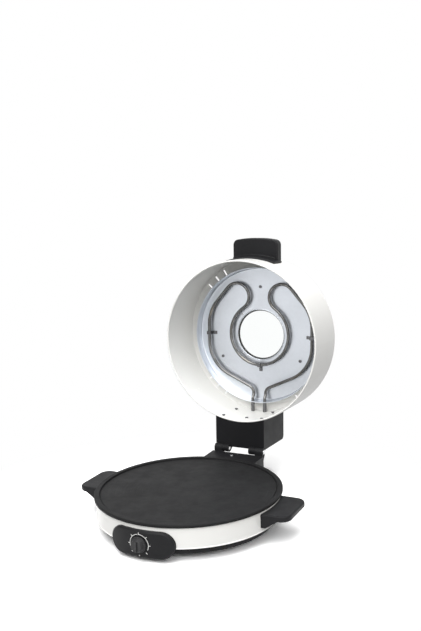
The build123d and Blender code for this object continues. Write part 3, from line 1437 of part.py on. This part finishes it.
def main():
    os.makedirs("parts", exist_ok=True)
    pieces, middle_y = assembly()
    for name, piece in pieces.items():
        export_step(joined([piece]), f"parts/{name}.step")
    print(f"{len(pieces)} pieces, base axis at y = {-middle_y:.3f}")


main()
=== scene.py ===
"""Looks of a countertop pizza maker: finishes for every CAD piece, the dial's print, light, floor and camera.

Everything is in metres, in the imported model's own frame: +Z up, -Y the front with the dial, +X to the
right, the feet on z = 0. The lid stands open, as it is packed.
"""

import logging
import math
from dataclasses import dataclass
from enum import Enum
from typing import Any, Optional, Sequence, Union

import bpy
import numpy as np
from mathutils import Matrix, Vector


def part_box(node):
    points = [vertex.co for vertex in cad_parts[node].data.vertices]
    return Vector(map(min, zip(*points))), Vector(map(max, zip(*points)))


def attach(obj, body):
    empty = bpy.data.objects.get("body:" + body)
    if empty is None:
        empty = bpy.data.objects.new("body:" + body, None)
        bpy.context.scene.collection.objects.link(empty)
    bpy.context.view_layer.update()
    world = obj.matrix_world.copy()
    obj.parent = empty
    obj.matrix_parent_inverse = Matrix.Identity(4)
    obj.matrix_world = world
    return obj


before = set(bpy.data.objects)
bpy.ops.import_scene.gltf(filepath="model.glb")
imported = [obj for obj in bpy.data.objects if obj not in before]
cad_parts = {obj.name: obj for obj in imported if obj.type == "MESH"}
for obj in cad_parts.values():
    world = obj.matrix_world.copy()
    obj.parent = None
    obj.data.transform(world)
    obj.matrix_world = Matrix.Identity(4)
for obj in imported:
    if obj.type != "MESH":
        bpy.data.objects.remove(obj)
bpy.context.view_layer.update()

LOG = logging.getLogger("pizza_maker")

Colour = tuple[float, float, float]
Pair = tuple[float, float]
Triple = tuple[float, float, float]


class Value:
    """One shader number, with operators that add Math nodes."""

    def __init__(self, paint: "Paint", socket: bpy.types.NodeSocket) -> None:
        """Wraps a number socket of a paint's tree."""
        self.paint = paint
        self.socket = socket

    def _math(self, operation: str, first: Any, second: Any) -> "Value":
        """Adds one Math node.

        Args:
            operation: Blender's name of the operation.
            first: left number or value.
            second: right number or value.

        Returns:
            The node's result.
        """
        node = self.paint.node("ShaderNodeMath", {"operation": operation}, {0: first, 1: second})
        return Value(self.paint, node.outputs[0])

    def __add__(self, other: Any) -> "Value":
        """Sum."""
        return self._math("ADD", self, other)

    def __radd__(self, other: Any) -> "Value":
        """Sum, reflected."""
        return self._math("ADD", other, self)

    def __sub__(self, other: Any) -> "Value":
        """Difference."""
        return self._math("SUBTRACT", self, other)

    def __rsub__(self, other: Any) -> "Value":
        """Difference, reflected."""
        return self._math("SUBTRACT", other, self)

    def __mul__(self, other: Any) -> "Value":
        """Product."""
        return self._math("MULTIPLY", self, other)

    def __rmul__(self, other: Any) -> "Value":
        """Product, reflected."""
        return self._math("MULTIPLY", other, self)

    def larger(self, other: Any) -> "Value":
        """The larger of two values."""
        return self._math("MAXIMUM", self, other)

    def step(self, low: float, high: float) -> "Value":
        """Smooth step from 0 at low to 1 at high.

        Args:
            low: value where the step starts.
            high: value where it ends.

        Returns:
            The stepped value, from 0 to 1.
        """
        settings = {"interpolation_type": "SMOOTHSTEP", "clamp": True}
        node = self.paint.node("ShaderNodeMapRange", settings, {0: self, 1: low, 2: high, 3: 0.0, 4: 1.0})
        return Value(self.paint, node.outputs[0])


Input = Union[Value, bpy.types.NodeSocket, float, Sequence[float], str, bool]


class Paint:
    """A node tree being filled, of a material or of the world."""

    def __init__(self, owner: Union[bpy.types.Material, bpy.types.World]) -> None:
        """Empties the owner's node tree."""
        owner.use_nodes = True
        self.owner = owner
        self.tree = owner.node_tree
        self.tree.nodes.clear()
        self._place: Optional[bpy.types.NodeSocket] = None

    def node(self, kind: str, settings: dict[str, Any], inputs: dict[Any, Input]) -> bpy.types.Node:
        """Adds any node.

        Args:
            kind: the node's Blender type.
            settings: properties, which are set first.
            inputs: value or link of each socket, by name or number.

        Returns:
            The node.
        """
        node = self.tree.nodes.new(kind)
        for name, value in settings.items():
            setattr(node, name, value)
        for name, value in inputs.items():
            if isinstance(value, Value):
                value = value.socket
            if isinstance(value, bpy.types.NodeSocket):
                self.tree.links.new(value, node.inputs[name])
            elif isinstance(value, tuple) and node.inputs[name].type == "RGBA" and len(value) == 3:
                node.inputs[name].default_value = (*value, 1.0)
            else:
                node.inputs[name].default_value = value
        return node

    def place(self) -> bpy.types.NodeSocket:
        """The point's Object coordinates, which at rest are the model's own."""
        if self._place is None:
            self._place = self.node("ShaderNodeTexCoord", {}, {}).outputs["Object"]
        return self._place

    def laid(self, move: Triple, turn: Triple, scale: Triple) -> bpy.types.NodeSocket:
        """Object coordinates, moved, turned and scaled.

        Args:
            move: offset in metres.
            turn: angles in radians.
            scale: factor of each axis.

        Returns:
            The mapped coordinates.
        """
        inputs = {"Vector": self.place(), "Location": move, "Rotation": turn, "Scale": scale}
        return self.node("ShaderNodeMapping", {}, inputs).outputs[0]

    def noise(self, size: float, detail: float = 2.0, stretch: Triple = (1.0, 1.0, 1.0),
              turn: Triple = (0.0, 0.0, 0.0), rough: float = 0.5) -> Value:
        """Fractal noise from 0 to 1.

        Args:
            size: size of its largest features in metres.
            detail: octaves.
            stretch: factor on the frequency of each axis.
            turn: angles that the pattern is turned by, in radians.
            rough: weight of the finer octaves.

        Returns:
            The noise.
        """
        inputs = {"Vector": self.laid((0.0, 0.0, 0.0), turn, stretch), "Scale": 1.0 / size,
                  "Detail": detail, "Roughness": rough}
        return Value(self, self.node("ShaderNodeTexNoise", {}, inputs).outputs[0])

    def cells(self, size: float, smooth: float = 0.4) -> Value:
        """Distance inside small rounded cells, as in moulded grain.

        Args:
            size: size of a cell in metres.
            smooth: how far neighbouring cells run together.

        Returns:
            The distance, about 0 to 0.7.
        """
        settings = {"feature": "SMOOTH_F1"}
        inputs = {"Vector": self.place(), "Scale": 1.0 / size, "Smoothness": smooth}
        return Value(self, self.node("ShaderNodeTexVoronoi", settings, inputs).outputs["Distance"])

    def blend(self, factor: Input, first: Input, second: Input) -> bpy.types.NodeSocket:
        """Mix of two colours.

        Args:
            factor: 0 for the first, 1 for the second.
            first: colour or link.
            second: colour or link.

        Returns:
            The mixed colour.
        """
        settings = {"data_type": "RGBA", "clamp_factor": True}
        return self.node("ShaderNodeMix", settings, {0: factor, 6: first, 7: second}).outputs[2]

    def bumped(self, height: Value, depth: float) -> bpy.types.NodeSocket:
        """Normal of a height pattern.

        Args:
            height: pattern from 0 to 1.
            depth: metres between its 0 and 1.

        Returns:
            The bumped normal.
        """
        inputs = {"Height": height, "Distance": depth, "Strength": 1.0}
        return self.node("ShaderNodeBump", {}, inputs).outputs[0]

    def finish(self, shader: bpy.types.NodeSocket) -> None:
        """Links the surface to the output."""
        is_world = isinstance(self.owner, bpy.types.World)
        kind = "ShaderNodeOutputWorld" if is_world else "ShaderNodeOutputMaterial"
        self.node(kind, {}, {"Surface": shader})


class Grain(Enum):
    """The small relief of a surface."""

    PEBBLED = "moulded in a spark-eroded tool"
    PEEL = "the slow ripple of sprayed or fired paint"
    ROLLED = "lines along X, as in rolled sheet"
    DRAWN = "fine all-round pitting of drawn or plated wire"
    CAST = "fine grit under a sprayed coating"


@dataclass(frozen=True)
class Finish:
    """A surface: its colour, gloss and relief, and how they vary and wear.

    The colour drifts over `drift_size`, the gloss with smudges, and thin scratches show in patches.
    """

    name: str
    colour: Colour
    roughness: float
    metallic: float = 0.0
    specular: float = 0.5
    coat: float = 0.0
    coat_roughness: float = 0.06
    grain: Grain = Grain.PEBBLED
    grain_size: float = 0.0007
    grain_depth: float = 0.00003
    drift: float = 0.08
    drift_size: float = 0.05
    gloss_spread: float = 0.12
    smudge_size: float = 0.03
    scratches: float = 0.0
    scratch_colour: Colour = (0.3, 0.3, 0.3)

    def relief(self, paint: Paint) -> Value:
        """Height pattern of the grain, from 0 to 1."""
        if self.grain is Grain.PEBBLED:
            return 0.6 * paint.cells(self.grain_size) + 0.5 * paint.noise(0.6 * self.grain_size, 3.0)
        if self.grain is Grain.PEEL:
            return paint.noise(self.grain_size, 1.0)
        if self.grain is Grain.ROLLED:
            lines = paint.noise(self.grain_size, 3.0, (0.02, 1.0, 1.0))
            return 0.75 * lines + 0.25 * paint.noise(4 * self.grain_size, 2.0)
        if self.grain is Grain.DRAWN:
            return paint.noise(self.grain_size, 4.0, rough=0.65)
        grit = paint.noise(2.5 * self.grain_size, 4.0, rough=0.7)
        return 0.5 * paint.cells(self.grain_size, 0.2) + 0.5 * grit

    def scratch_mask(self, paint: Paint) -> Value:
        """Thin crossing lines, in patches, from 0 to 1."""
        along = paint.noise(0.004, 2.0, (0.04, 1.0, 0.3), (0.0, 0.0, 0.5))
        across = paint.noise(0.005, 2.0, (1.0, 0.05, 0.3), (0.0, 0.0, -0.3))
        patches = paint.noise(0.06, 3.0).step(0.5, 0.7)
        return self.scratches * patches * along.step(0.66, 0.72).larger(across.step(0.67, 0.73))

    def colour_link(self, paint: Paint) -> bpy.types.NodeSocket:
        """Base colour with its drift."""
        darker = tuple(c * (1.0 - self.drift) for c in self.colour)
        lighter = tuple(min(1.0, c * (1.0 + self.drift)) for c in self.colour)
        drift = 0.7 * paint.noise(self.drift_size, 4.0) + 0.3 * paint.noise(0.1 * self.drift_size, 3.0)
        return paint.blend(drift.step(0.3, 0.7), darker, lighter)

    def roughness_value(self, paint: Paint) -> Value:
        """Roughness with smudges."""
        smudge = paint.noise(self.smudge_size, 5.0, rough=0.6).step(0.25, 0.75)
        return self.roughness * (1.0 - self.gloss_spread) + 2.0 * self.roughness * self.gloss_spread * smudge

    def extras(self) -> dict[str, Input]:
        """Constant sockets of the shader."""
        return {"Metallic": self.metallic, "Specular IOR Level": self.specular,
                "Coat Weight": self.coat, "Coat Roughness": self.coat_roughness}

    def material(self) -> bpy.types.Material:
        """Builds the node material."""
        made = bpy.data.materials.new(self.name)
        paint = Paint(made)
        colour = self.colour_link(paint)
        roughness = self.roughness_value(paint)
        if self.scratches:
            mask = self.scratch_mask(paint)
            colour = paint.blend(mask, colour, self.scratch_colour)
            roughness = roughness + 0.15 * mask
        inputs = {"Base Color": colour, "Roughness": roughness,
                  "Normal": paint.bumped(self.relief(paint), self.grain_depth), **self.extras()}
        shader = paint.node("ShaderNodeBsdfPrincipled", {}, inputs)
        paint.finish(shader.outputs[0])
        made.diffuse_color = (*self.colour, 1.0)
        return made


@dataclass(frozen=True)
class CoatedPlate(Finish):
    """Non-stick coating on a cast disc: grit, fine speckle and faint rings from use."""

    ring_pitch: float = 0.004
    ring_share: float = 0.25
    axis_y: float = 0.0

    def colour_link(self, paint: Paint) -> bpy.types.NodeSocket:
        """Base colour with fine speckle and faint rings about the plate's axis."""
        base = super().colour_link(paint)
        speckle = paint.noise(0.0012, 3.0, rough=0.8).step(0.62, 0.75)
        lighter = tuple(2.1 * c for c in self.colour)
        speckled = paint.blend(0.5 * speckle, base, lighter)
        return paint.blend(self.ring_share * self.rings(paint), speckled, lighter)

    def rings(self, paint: Paint) -> Value:
        """Fine uneven rings: noise read along the distance from the plate's axis, from 0 to 1."""
        flat = paint.laid((0.0, -self.axis_y, 0.0), (0.0, 0.0, 0.0), (1.0, 1.0, 0.0))
        length = paint.node("ShaderNodeVectorMath", {"operation": "LENGTH"}, {0: flat}).outputs["Value"]
        radius = Value(paint, length)
        settings = {"noise_dimensions": "1D"}
        inputs = {"W": radius, "Scale": 1.0 / self.ring_pitch, "Detail": 3.0}
        lines = Value(paint, paint.node("ShaderNodeTexNoise", settings, inputs).outputs[0])
        return lines.step(0.5, 0.68) * paint.noise(0.09, 3.0).step(0.45, 0.65)


@dataclass(frozen=True)
class HeatedTube(Finish):
    """Stainless heater tube: dark oxide with straw and blue patches, and a grey sheen between them."""

    straw: Colour = (0.22, 0.19, 0.15)
    blue: Colour = (0.1, 0.11, 0.14)

    def colour_link(self, paint: Paint) -> bpy.types.NodeSocket:
        """Base colour with tempering colours along the tube."""
        base = super().colour_link(paint)
        straw = paint.noise(0.05, 2.0).step(0.55, 0.75)
        blue = paint.noise(0.035, 2.0, turn=(0.7, 0.2, 0.4)).step(0.6, 0.8)
        return paint.blend(0.5 * blue, paint.blend(0.4 * straw, base, self.straw), self.blue)


@dataclass(frozen=True)
class ClearGlass(Finish):
    """Clear glass with a trace of dust in its gloss."""

    ior: float = 1.48

    def extras(self) -> dict[str, Input]:
        """Constant sockets of the shader."""
        return {"Transmission Weight": 1.0, "IOR": self.ior}


def plate_axis_y() -> float:
    """Y of the hot plate's axis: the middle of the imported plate."""
    low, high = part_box("hot_plate")
    return (low.y + high.y) / 2


PLATE_COATING = CoatedPlate("plate_coating", (0.016, 0.016, 0.0165), 0.5, specular=0.05, grain=Grain.CAST,
                            grain_size=0.0009, grain_depth=0.00004, drift=0.1, gloss_spread=0.15,
                            scratches=0.12, scratch_colour=(0.05, 0.05, 0.05), axis_y=plate_axis_y())
WHITE_ENAMEL = Finish("white_enamel", (0.82, 0.815, 0.79), 0.26, specular=0.3, coat=0.08, grain=Grain.PEEL,
                      grain_size=0.005, grain_depth=0.000008, drift=0.004, gloss_spread=0.06)
BLACK_PAINT = Finish("black_paint", (0.012, 0.012, 0.013), 0.42, specular=0.12, grain=Grain.PEEL,
                     grain_size=0.003, grain_depth=0.00004, scratches=0.2, scratch_colour=(0.05, 0.05, 0.05))
FOOT_RUBBER = Finish("foot_rubber", (0.022, 0.022, 0.022), 0.7, specular=0.2, grain_size=0.0005,
                     grain_depth=0.00004)
PLAIN_STEEL = Finish("plain_steel", (0.5, 0.5, 0.51), 0.32, metallic=1.0, grain=Grain.DRAWN,
                     grain_size=0.0006, grain_depth=0.00001, drift=0.15, drift_size=0.01)
DARK_STEEL = Finish("dark_steel", (0.16, 0.16, 0.165), 0.28, metallic=1.0, grain=Grain.DRAWN,
                    grain_size=0.0006, grain_depth=0.00001, drift=0.2, drift_size=0.006)
SHIELD_STEEL = Finish("shield_steel", (0.6, 0.61, 0.62), 0.35, metallic=1.0, grain=Grain.ROLLED,
                      grain_size=0.0006, grain_depth=0.00002)
ELEMENT_STEEL = HeatedTube("element_steel", (0.15, 0.148, 0.145), 0.16, metallic=1.0, grain=Grain.DRAWN,
                           grain_size=0.0008, grain_depth=0.00001, drift=0.2, drift_size=0.03)
BLACK_PLASTIC = Finish("black_plastic", (0.0095, 0.0095, 0.0105), 0.42, specular=0.12, grain_size=0.0005,
                       grain_depth=0.00002, scratches=0.1, scratch_colour=(0.035, 0.035, 0.035))
HANDLE_PLASTIC = Finish("handle_plastic", (0.0115, 0.0115, 0.0125), 0.48, specular=0.13, grain_size=0.0008,
                        grain_depth=0.00004, scratches=0.12, scratch_colour=(0.04, 0.04, 0.04))
KNOB_PLASTIC = Finish("knob_plastic", (0.02, 0.02, 0.021), 0.5, specular=0.3, grain_size=0.0005,
                      grain_depth=0.00001)
CERAMIC = Finish("ceramic", (0.8, 0.78, 0.72), 0.55, grain_size=0.0006, grain_depth=0.00003)
PIN_STEEL = Finish("pin_steel", (0.66, 0.66, 0.67), 0.2, metallic=1.0, grain=Grain.DRAWN, grain_size=0.0005,
                   grain_depth=0.000008)
GASKET_SILICONE = Finish("gasket_silicone", (0.1, 0.1, 0.1), 0.6, specular=0.3, grain_size=0.0006)
WINDOW_GLASS = ClearGlass("window_glass", (0.97, 0.985, 0.98), 0.01, grain=Grain.PEEL, grain_size=0.02,
                          grain_depth=0.000002, drift=0.005, gloss_spread=0.5)
REFLECTOR = Finish("reflector_aluminium", (0.66, 0.69, 0.735), 0.33, metallic=1.0, grain=Grain.ROLLED,
                   grain_size=0.0009, grain_depth=0.00002, drift=0.04, drift_size=0.08, gloss_spread=0.15,
                   scratches=0.1, scratch_colour=(0.85, 0.86, 0.88))
DIAL_INK = Finish("dial_ink", (0.82, 0.82, 0.8), 0.5, grain=Grain.PEEL, grain_size=0.002, grain_depth=0.00001,
                  drift=0.05, drift_size=0.01)


class Palette:
    """Builds each finish's material once and hands it out by name."""

    def __init__(self) -> None:
        """Starts with no material built."""
        self._made: dict[str, bpy.types.Material] = {}

    def of(self, finish: Finish) -> bpy.types.Material:
        """The material of a finish."""
        if finish.name not in self._made:
            for old in bpy.data.materials:
                if old.name == finish.name:
                    old.name = finish.name + "_packed"
            self._made[finish.name] = finish.material()
        return self._made[finish.name]

    def dress(self, nodes: Sequence[str], finish: Finish) -> None:
        """Gives CAD nodes a finish.

        Args:
            nodes: names of the CAD nodes.
            finish: what their surface is made of.
        """
        for name in nodes:
            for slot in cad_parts[name].material_slots:
                slot.material = self.of(finish)
            LOG.info("%s dressed in %s", name, finish.name)


def tube_faces(rows: int, columns: int) -> np.ndarray:
    """Quads of an open tube: each row is a closed ring, joined to the next row.

    Args:
        rows: number of rings.
        columns: number of points in a ring.

    Returns:
        Four point numbers for each quad.
    """
    r, c = (a.ravel() for a in np.meshgrid(np.arange(rows - 1), np.arange(columns), indexing="ij"))
    r1, c1 = r + 1, (c + 1) % columns
    return np.stack([r * columns + c, r * columns + c1, r1 * columns + c1, r1 * columns + c], axis=1)


def new_piece(name: str, points: np.ndarray, faces: list[Sequence[int]],
              material: bpy.types.Material) -> bpy.types.Object:
    """Makes a flat-shaded mesh object at the origin.

    Args:
        name: piece name.
        points: one row for each point, in metres.
        faces: point numbers of each face.
        material: its finish.

    Returns:
        The object.
    """
    mesh = bpy.data.meshes.new(name)
    mesh.from_pydata(points.tolist(), [], [list(map(int, f)) for f in faces])
    mesh.materials.append(material)
    mesh.update()
    piece = bpy.data.objects.new(name, mesh)
    bpy.context.scene.collection.objects.link(piece)
    return piece


@dataclass
class DialPrint:
    """Scale printed round the knob: an arc in two strokes, ticks across it, and two dots below.

    Angles are counted from the right, as the dial is seen from the front, in degrees.
    """

    radius: float = 0.0206
    stroke: float = 0.0011
    thickness: float = 0.00012
    arc_spans: tuple[Pair, ...] = ((-27.0, 92.0), (96.0, 205.0))
    ticks: tuple[float, ...] = (-45.0, 0.0, 45.0, 90.0, 135.0, 180.0)
    tick_length: float = 0.0042
    tick_width: float = 0.0013
    dots: tuple[float, ...] = (225.0, 270.0)
    dot_radius: float = 0.0012
    dot_circle: float = 0.0228
    arc_steps: int = 64
    tick_steps: int = 6
    dot_steps: int = 20
    dot_end: float = 4.0

    def __post_init__(self) -> None:
        """Reads the dial's centre and the panel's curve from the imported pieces."""
        low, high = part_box("control_knob")
        self.centre_z = (low.z + high.z) / 2
        self.axis_y = plate_axis_y()
        self.face_radius = self.axis_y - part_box("control_panel")[0].y

    def wrapped(self, x: np.ndarray, z: np.ndarray, lift: float) -> np.ndarray:
        """Lays flat points on the panel: y is minus the circle of the panel's radius at that x.

        Args:
            x: distance right of the dial's centre.
            z: distance above it.
            lift: height above the panel's face.

        Returns:
            The points in the model's frame.
        """
        x, z = np.broadcast_arrays(x, z)
        y = self.axis_y - np.sqrt(self.face_radius ** 2 - x ** 2) - lift
        return np.stack([x, y, z + self.centre_z], axis=-1)

    def slab(self, x: np.ndarray, z: np.ndarray) -> tuple[np.ndarray, np.ndarray]:
        """Closed slab over a grid: the grid's ring of points is laid low and high and joined.

        Args:
            x: grid of distances right of the centre, two columns wide.
            z: grid of distances above it.

        Returns:
            The points and the quads.
        """
        low, high = self.wrapped(x, z, -self.thickness / 2), self.wrapped(x, z, self.thickness)
        ring = np.stack([low[:, 0], high[:, 0], high[:, 1], low[:, 1]], axis=1)
        rows = ring.shape[0]
        ends = np.array([[0, 1, 2, 3], [4 * rows - 1, 4 * rows - 2, 4 * rows - 3, 4 * rows - 4]])
        faces = np.concatenate([tube_faces(rows, 4)[:, ::-1], ends])
        return ring.reshape(-1, 3), faces

    def arc(self, first: float, last: float) -> tuple[np.ndarray, np.ndarray]:
        """Band of the stroke's width along a circle, from one angle to another."""
        angles = np.radians(np.linspace(first, last, self.arc_steps))[:, None]
        radii = self.radius + self.stroke / 2 * np.array([[-1.0, 1.0]])
        return self.slab(radii * np.cos(angles), radii * np.sin(angles))

    def tick(self, angle: float) -> tuple[np.ndarray, np.ndarray]:
        """Short bar from the arc outwards."""
        a = math.radians(angle)
        along = np.linspace(self.radius, self.radius + self.tick_length, self.tick_steps)[:, None]
        side = self.tick_width / 2 * np.array([[-1.0, 1.0]])
        return self.slab(along * math.cos(a) - side * math.sin(a), along * math.sin(a) + side * math.cos(a))

    def dot(self, angle: float) -> tuple[np.ndarray, np.ndarray]:
        """Round dot: chords across a circle, ending `dot_end` degrees short of both sides."""
        a = math.radians(angle)
        turn = np.radians(np.linspace(self.dot_end, 180.0 - self.dot_end, self.dot_steps))[:, None]
        reach = self.dot_radius * np.cos(turn)
        half = self.dot_radius * np.sin(turn) * np.array([[-1.0, 1.0]])
        x, z = self.dot_circle * math.cos(a) + half, self.dot_circle * math.sin(a) - reach
        return self.slab(x, z)

    def build(self, palette: Palette) -> bpy.types.Object:
        """Makes the print as one piece that rides on the base."""
        shapes = [self.arc(*span) for span in self.arc_spans]
        shapes += [self.tick(angle) for angle in self.ticks]
        shapes += [self.dot(angle) for angle in self.dots]
        starts = np.cumsum([0] + [len(points) for points, _ in shapes[:-1]])
        points = np.concatenate([points for points, _ in shapes])
        faces = np.concatenate([faces + start for (_, faces), start in zip(shapes, starts)])
        piece = new_piece("dial_print", points, faces.tolist(), palette.of(DIAL_INK))
        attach(piece, "base")
        return piece


@dataclass
class Base:
    """The low drum with the hot plate, its pan, feet, handles and hinge bracket."""

    coated: tuple[str, ...] = ("hot_plate",)
    enamelled: tuple[str, ...] = ("base_band",)
    painted: tuple[str, ...] = ("bottom_pan",)
    rubber: tuple[str, ...] = ("feet", "cord_gland")
    steel: tuple[str, ...] = ("plate_studs", "shield_spacers", "shield_nuts", "pan_nuts", "element_clamps",
                              "clamp_screws", "panel_screws", "thermostat_screws", "sensor_plunger",
                              "handle_screws", "bracket_screws", "bracket_top_screw", "terminal_block_screw")
    sheet: tuple[str, ...] = ("heat_shield", "bracket_stay")
    heater: tuple[str, ...] = ("lower_element",)
    plastic: tuple[str, ...] = ("control_panel", "thermostat")
    grips: tuple[str, ...] = ("right_handle", "left_handle", "hinge_bracket")
    ceramic: tuple[str, ...] = ("terminal_block",)
    pins: tuple[str, ...] = ("hinge_pins",)

    def dress(self, palette: Palette) -> None:
        """Finishes the base's CAD pieces."""
        for nodes, finish in ((self.coated, PLATE_COATING), (self.enamelled, WHITE_ENAMEL),
                              (self.painted, BLACK_PAINT), (self.rubber, FOOT_RUBBER),
                              (self.steel, PLAIN_STEEL), (self.sheet, SHIELD_STEEL),
                              (self.heater, ELEMENT_STEEL), (self.plastic, BLACK_PLASTIC),
                              (self.grips, HANDLE_PLASTIC), (self.ceramic, CERAMIC), (self.pins, PIN_STEEL)):
            palette.dress(nodes, finish)


@dataclass
class Knob:
    """The dial's knob on its shaft."""

    plastic: tuple[str, ...] = ("control_knob",)
    steel: tuple[str, ...] = ("knob_shaft",)

    def dress(self, palette: Palette) -> None:
        """Finishes the knob's CAD pieces."""
        palette.dress(self.plastic, KNOB_PLASTIC)
        palette.dress(self.steel, PLAIN_STEEL)


@dataclass
class Lid:
    """The deep drum with its window, reflector dish and heater tube."""

    enamelled: tuple[str, ...] = ("lid_shell",)
    silicone: tuple[str, ...] = ("window_gasket",)
    glass: tuple[str, ...] = ("window_glass",)
    plastic: tuple[str, ...] = ("window_ring", "lid_hinge_block")
    bright: tuple[str, ...] = ("lid_reflector",)
    heater: tuple[str, ...] = ("lid_element",)
    steel: tuple[str, ...] = ("window_ring_screws", "terminal_tabs", "lid_nuts")
    dark_steel: tuple[str, ...] = ("element_clips", "lid_screws", "lid_handle_screws", "block_screws",
                                   "terminal_sleeves")
    ceramic: tuple[str, ...] = ("terminal_insulators",)
    grips: tuple[str, ...] = ("lid_handle",)

    def dress(self, palette: Palette) -> None:
        """Finishes the lid's CAD pieces."""
        for nodes, finish in ((self.enamelled, WHITE_ENAMEL), (self.silicone, GASKET_SILICONE),
                              (self.glass, WINDOW_GLASS), (self.plastic, BLACK_PLASTIC),
                              (self.bright, REFLECTOR), (self.heater, ELEMENT_STEEL),
                              (self.steel, PLAIN_STEEL), (self.dark_steel, DARK_STEEL),
                              (self.ceramic, CERAMIC), (self.grips, HANDLE_PLASTIC)):
            palette.dress(nodes, finish)


@dataclass
class Stage:
    """A pale floor that keeps the shadow and turns white further out, and the world around it.

    `horizon_light` and `zenith_light` are the brightness that the world casts on matt surfaces.
    """

    half_width: float = 6.0
    colour: Colour = (0.16, 0.16, 0.16)
    seen_gain: float = 1.3
    white_from: float = 0.34
    white_at: float = 0.62
    centre_y: float = -0.08
    horizon_light: float = 0.14
    zenith_light: float = 0.85

    def seen(self, paint: Paint) -> Value:
        """1 for rays that see the backdrop: from the camera, in gloss and through glass."""
        rays = paint.node("ShaderNodeLightPath", {}, {}).outputs
        seen = Value(paint, rays["Is Camera Ray"]).larger(Value(paint, rays["Is Glossy Ray"]))
        return seen.larger(Value(paint, rays["Is Transmission Ray"]))

    def floor_material(self) -> bpy.types.Material:
        """Matt floor, lifted for the camera so that its lit part is white, and pure white far out."""
        made = bpy.data.materials.new("floor_paper")
        paint = Paint(made)
        flat = paint.laid((0.0, -self.centre_y, 0.0), (0.0, 0.0, 0.0), (1.0, 1.0, 0.0))
        length = paint.node("ShaderNodeVectorMath", {"operation": "LENGTH"}, {0: flat}).outputs["Value"]
        far = Value(paint, length).step(self.white_from, self.white_at)
        plain = paint.node("ShaderNodeBsdfDiffuse", {}, {"Color": self.colour}).outputs[0]
        lifted = paint.node("ShaderNodeBsdfDiffuse", {}, {"Color": (self.seen_gain,) * 3}).outputs[0]
        white = paint.node("ShaderNodeEmission", {}, {"Color": (1.0, 1.0, 1.0), "Strength": 1.0}).outputs[0]
        shown = paint.node("ShaderNodeMixShader", {}, {0: far, 1: lifted, 2: white}).outputs[0]
        inputs = {0: self.seen(paint), 1: plain, 2: shown}
        paint.finish(paint.node("ShaderNodeMixShader", {}, inputs).outputs[0])
        return made

    def build(self) -> None:
        """Makes the floor."""
        w = self.half_width
        corners = np.array([[-w, -w, 0.0], [w, -w, 0.0], [w, w, 0.0], [-w, w, 0.0]])
        floor = new_piece("floor", corners, [(0, 1, 2, 3)], self.floor_material())

    def build_world(self) -> None:
        """White backdrop where it is seen; elsewhere a soft light that grows from the horizon to the top."""
        world = bpy.data.worlds.new("studio")
        bpy.context.scene.world = world
        paint = Paint(world)
        incoming = paint.node("ShaderNodeTexCoord", {}, {}).outputs["Generated"]
        height = Value(paint, paint.node("ShaderNodeSeparateXYZ", {}, {0: incoming}).outputs["Z"])
        cast = paint.blend(height.step(-0.1, 0.9), (self.horizon_light,) * 3, (self.zenith_light,) * 3)
        colour = paint.blend(self.seen(paint), cast, (1.0, 1.0, 1.0))
        paint.finish(paint.node("ShaderNodeBackground", {}, {"Color": colour, "Strength": 1.0}).outputs[0])


@dataclass(frozen=True)
class SoftBox:
    """A square studio lamp aimed at a point."""

    name: str
    place: Triple
    aim: Triple
    width: float
    power: float

    def build(self) -> None:
        """Adds the lamp; the camera doesn't see it."""
        lamp = bpy.data.lights.new(self.name, "AREA")
        lamp.shape, lamp.size, lamp.energy = "SQUARE", self.width, self.power
        holder = bpy.data.objects.new(self.name, lamp)
        holder.location = self.place
        holder.rotation_euler = (Vector(self.aim) - Vector(self.place)).to_track_quat("-Z", "Y").to_euler()
        holder.visible_camera = False
        bpy.context.scene.collection.objects.link(holder)


SOFT_BOXES = (
    SoftBox("key_above_front", (0.1, -1.9, 2.2), (0.0, 0.0, 0.1), 2.0, 62.0),
    SoftBox("fill_right", (1.9, -1.5, 1.2), (0.0, 0.0, 0.2), 1.4, 20.0),
    SoftBox("top", (0.1, -0.2, 2.6), (0.0, 0.0, 0.0), 2.2, 34.0),
)


@dataclass(frozen=True)
class ViewPoint:
    """The photograph's viewpoint: heading, height angle, tilt and focal length in pixels."""

    place: Triple = (0.8667, -1.6554, 0.7596)
    azimuth: float = 27.11
    elevation: float = 9.97
    roll: float = -2.30
    focal_pixels: float = 881.33
    frame_height: float = 631.0

    def build(self) -> None:
        """Adds the camera and makes it the scene's own."""
        az, el, roll = (math.radians(a) for a in (self.azimuth, self.elevation, self.roll))
        back = Vector((math.sin(az) * math.cos(el), -math.cos(az) * math.cos(el), math.sin(el)))
        right = Vector((math.cos(az), math.sin(az), 0.0))
        up = back.cross(right)
        tilted_right = math.cos(roll) * right + math.sin(roll) * up
        tilted_up = math.cos(roll) * up - math.sin(roll) * right
        data = bpy.data.cameras.new("viewpoint")
        data.lens = data.sensor_width * self.focal_pixels / self.frame_height
        data.clip_start, data.clip_end = 0.01, 100.0
        camera = bpy.data.objects.new("viewpoint", data)
        turn = Matrix((tilted_right, tilted_up, back)).transposed().to_4x4()
        camera.matrix_world = Matrix.Translation(self.place) @ turn
        bpy.context.scene.collection.objects.link(camera)
        bpy.context.scene.camera = camera


def main() -> None:
    """Builds the scene in order and reports each piece."""
    logging.basicConfig(level=logging.INFO, format="%(message)s")
    bpy.context.scene.view_settings.view_transform = "Standard"
    palette = Palette()
    for part in (Base(), Knob(), Lid()):
        part.dress(palette)
    LOG.info("built %s", DialPrint().build(palette).name)
    stage = Stage()
    stage.build()
    stage.build_world()
    for box in SOFT_BOXES:
        box.build()
    ViewPoint().build()


if __name__ == "__main__":
    main()
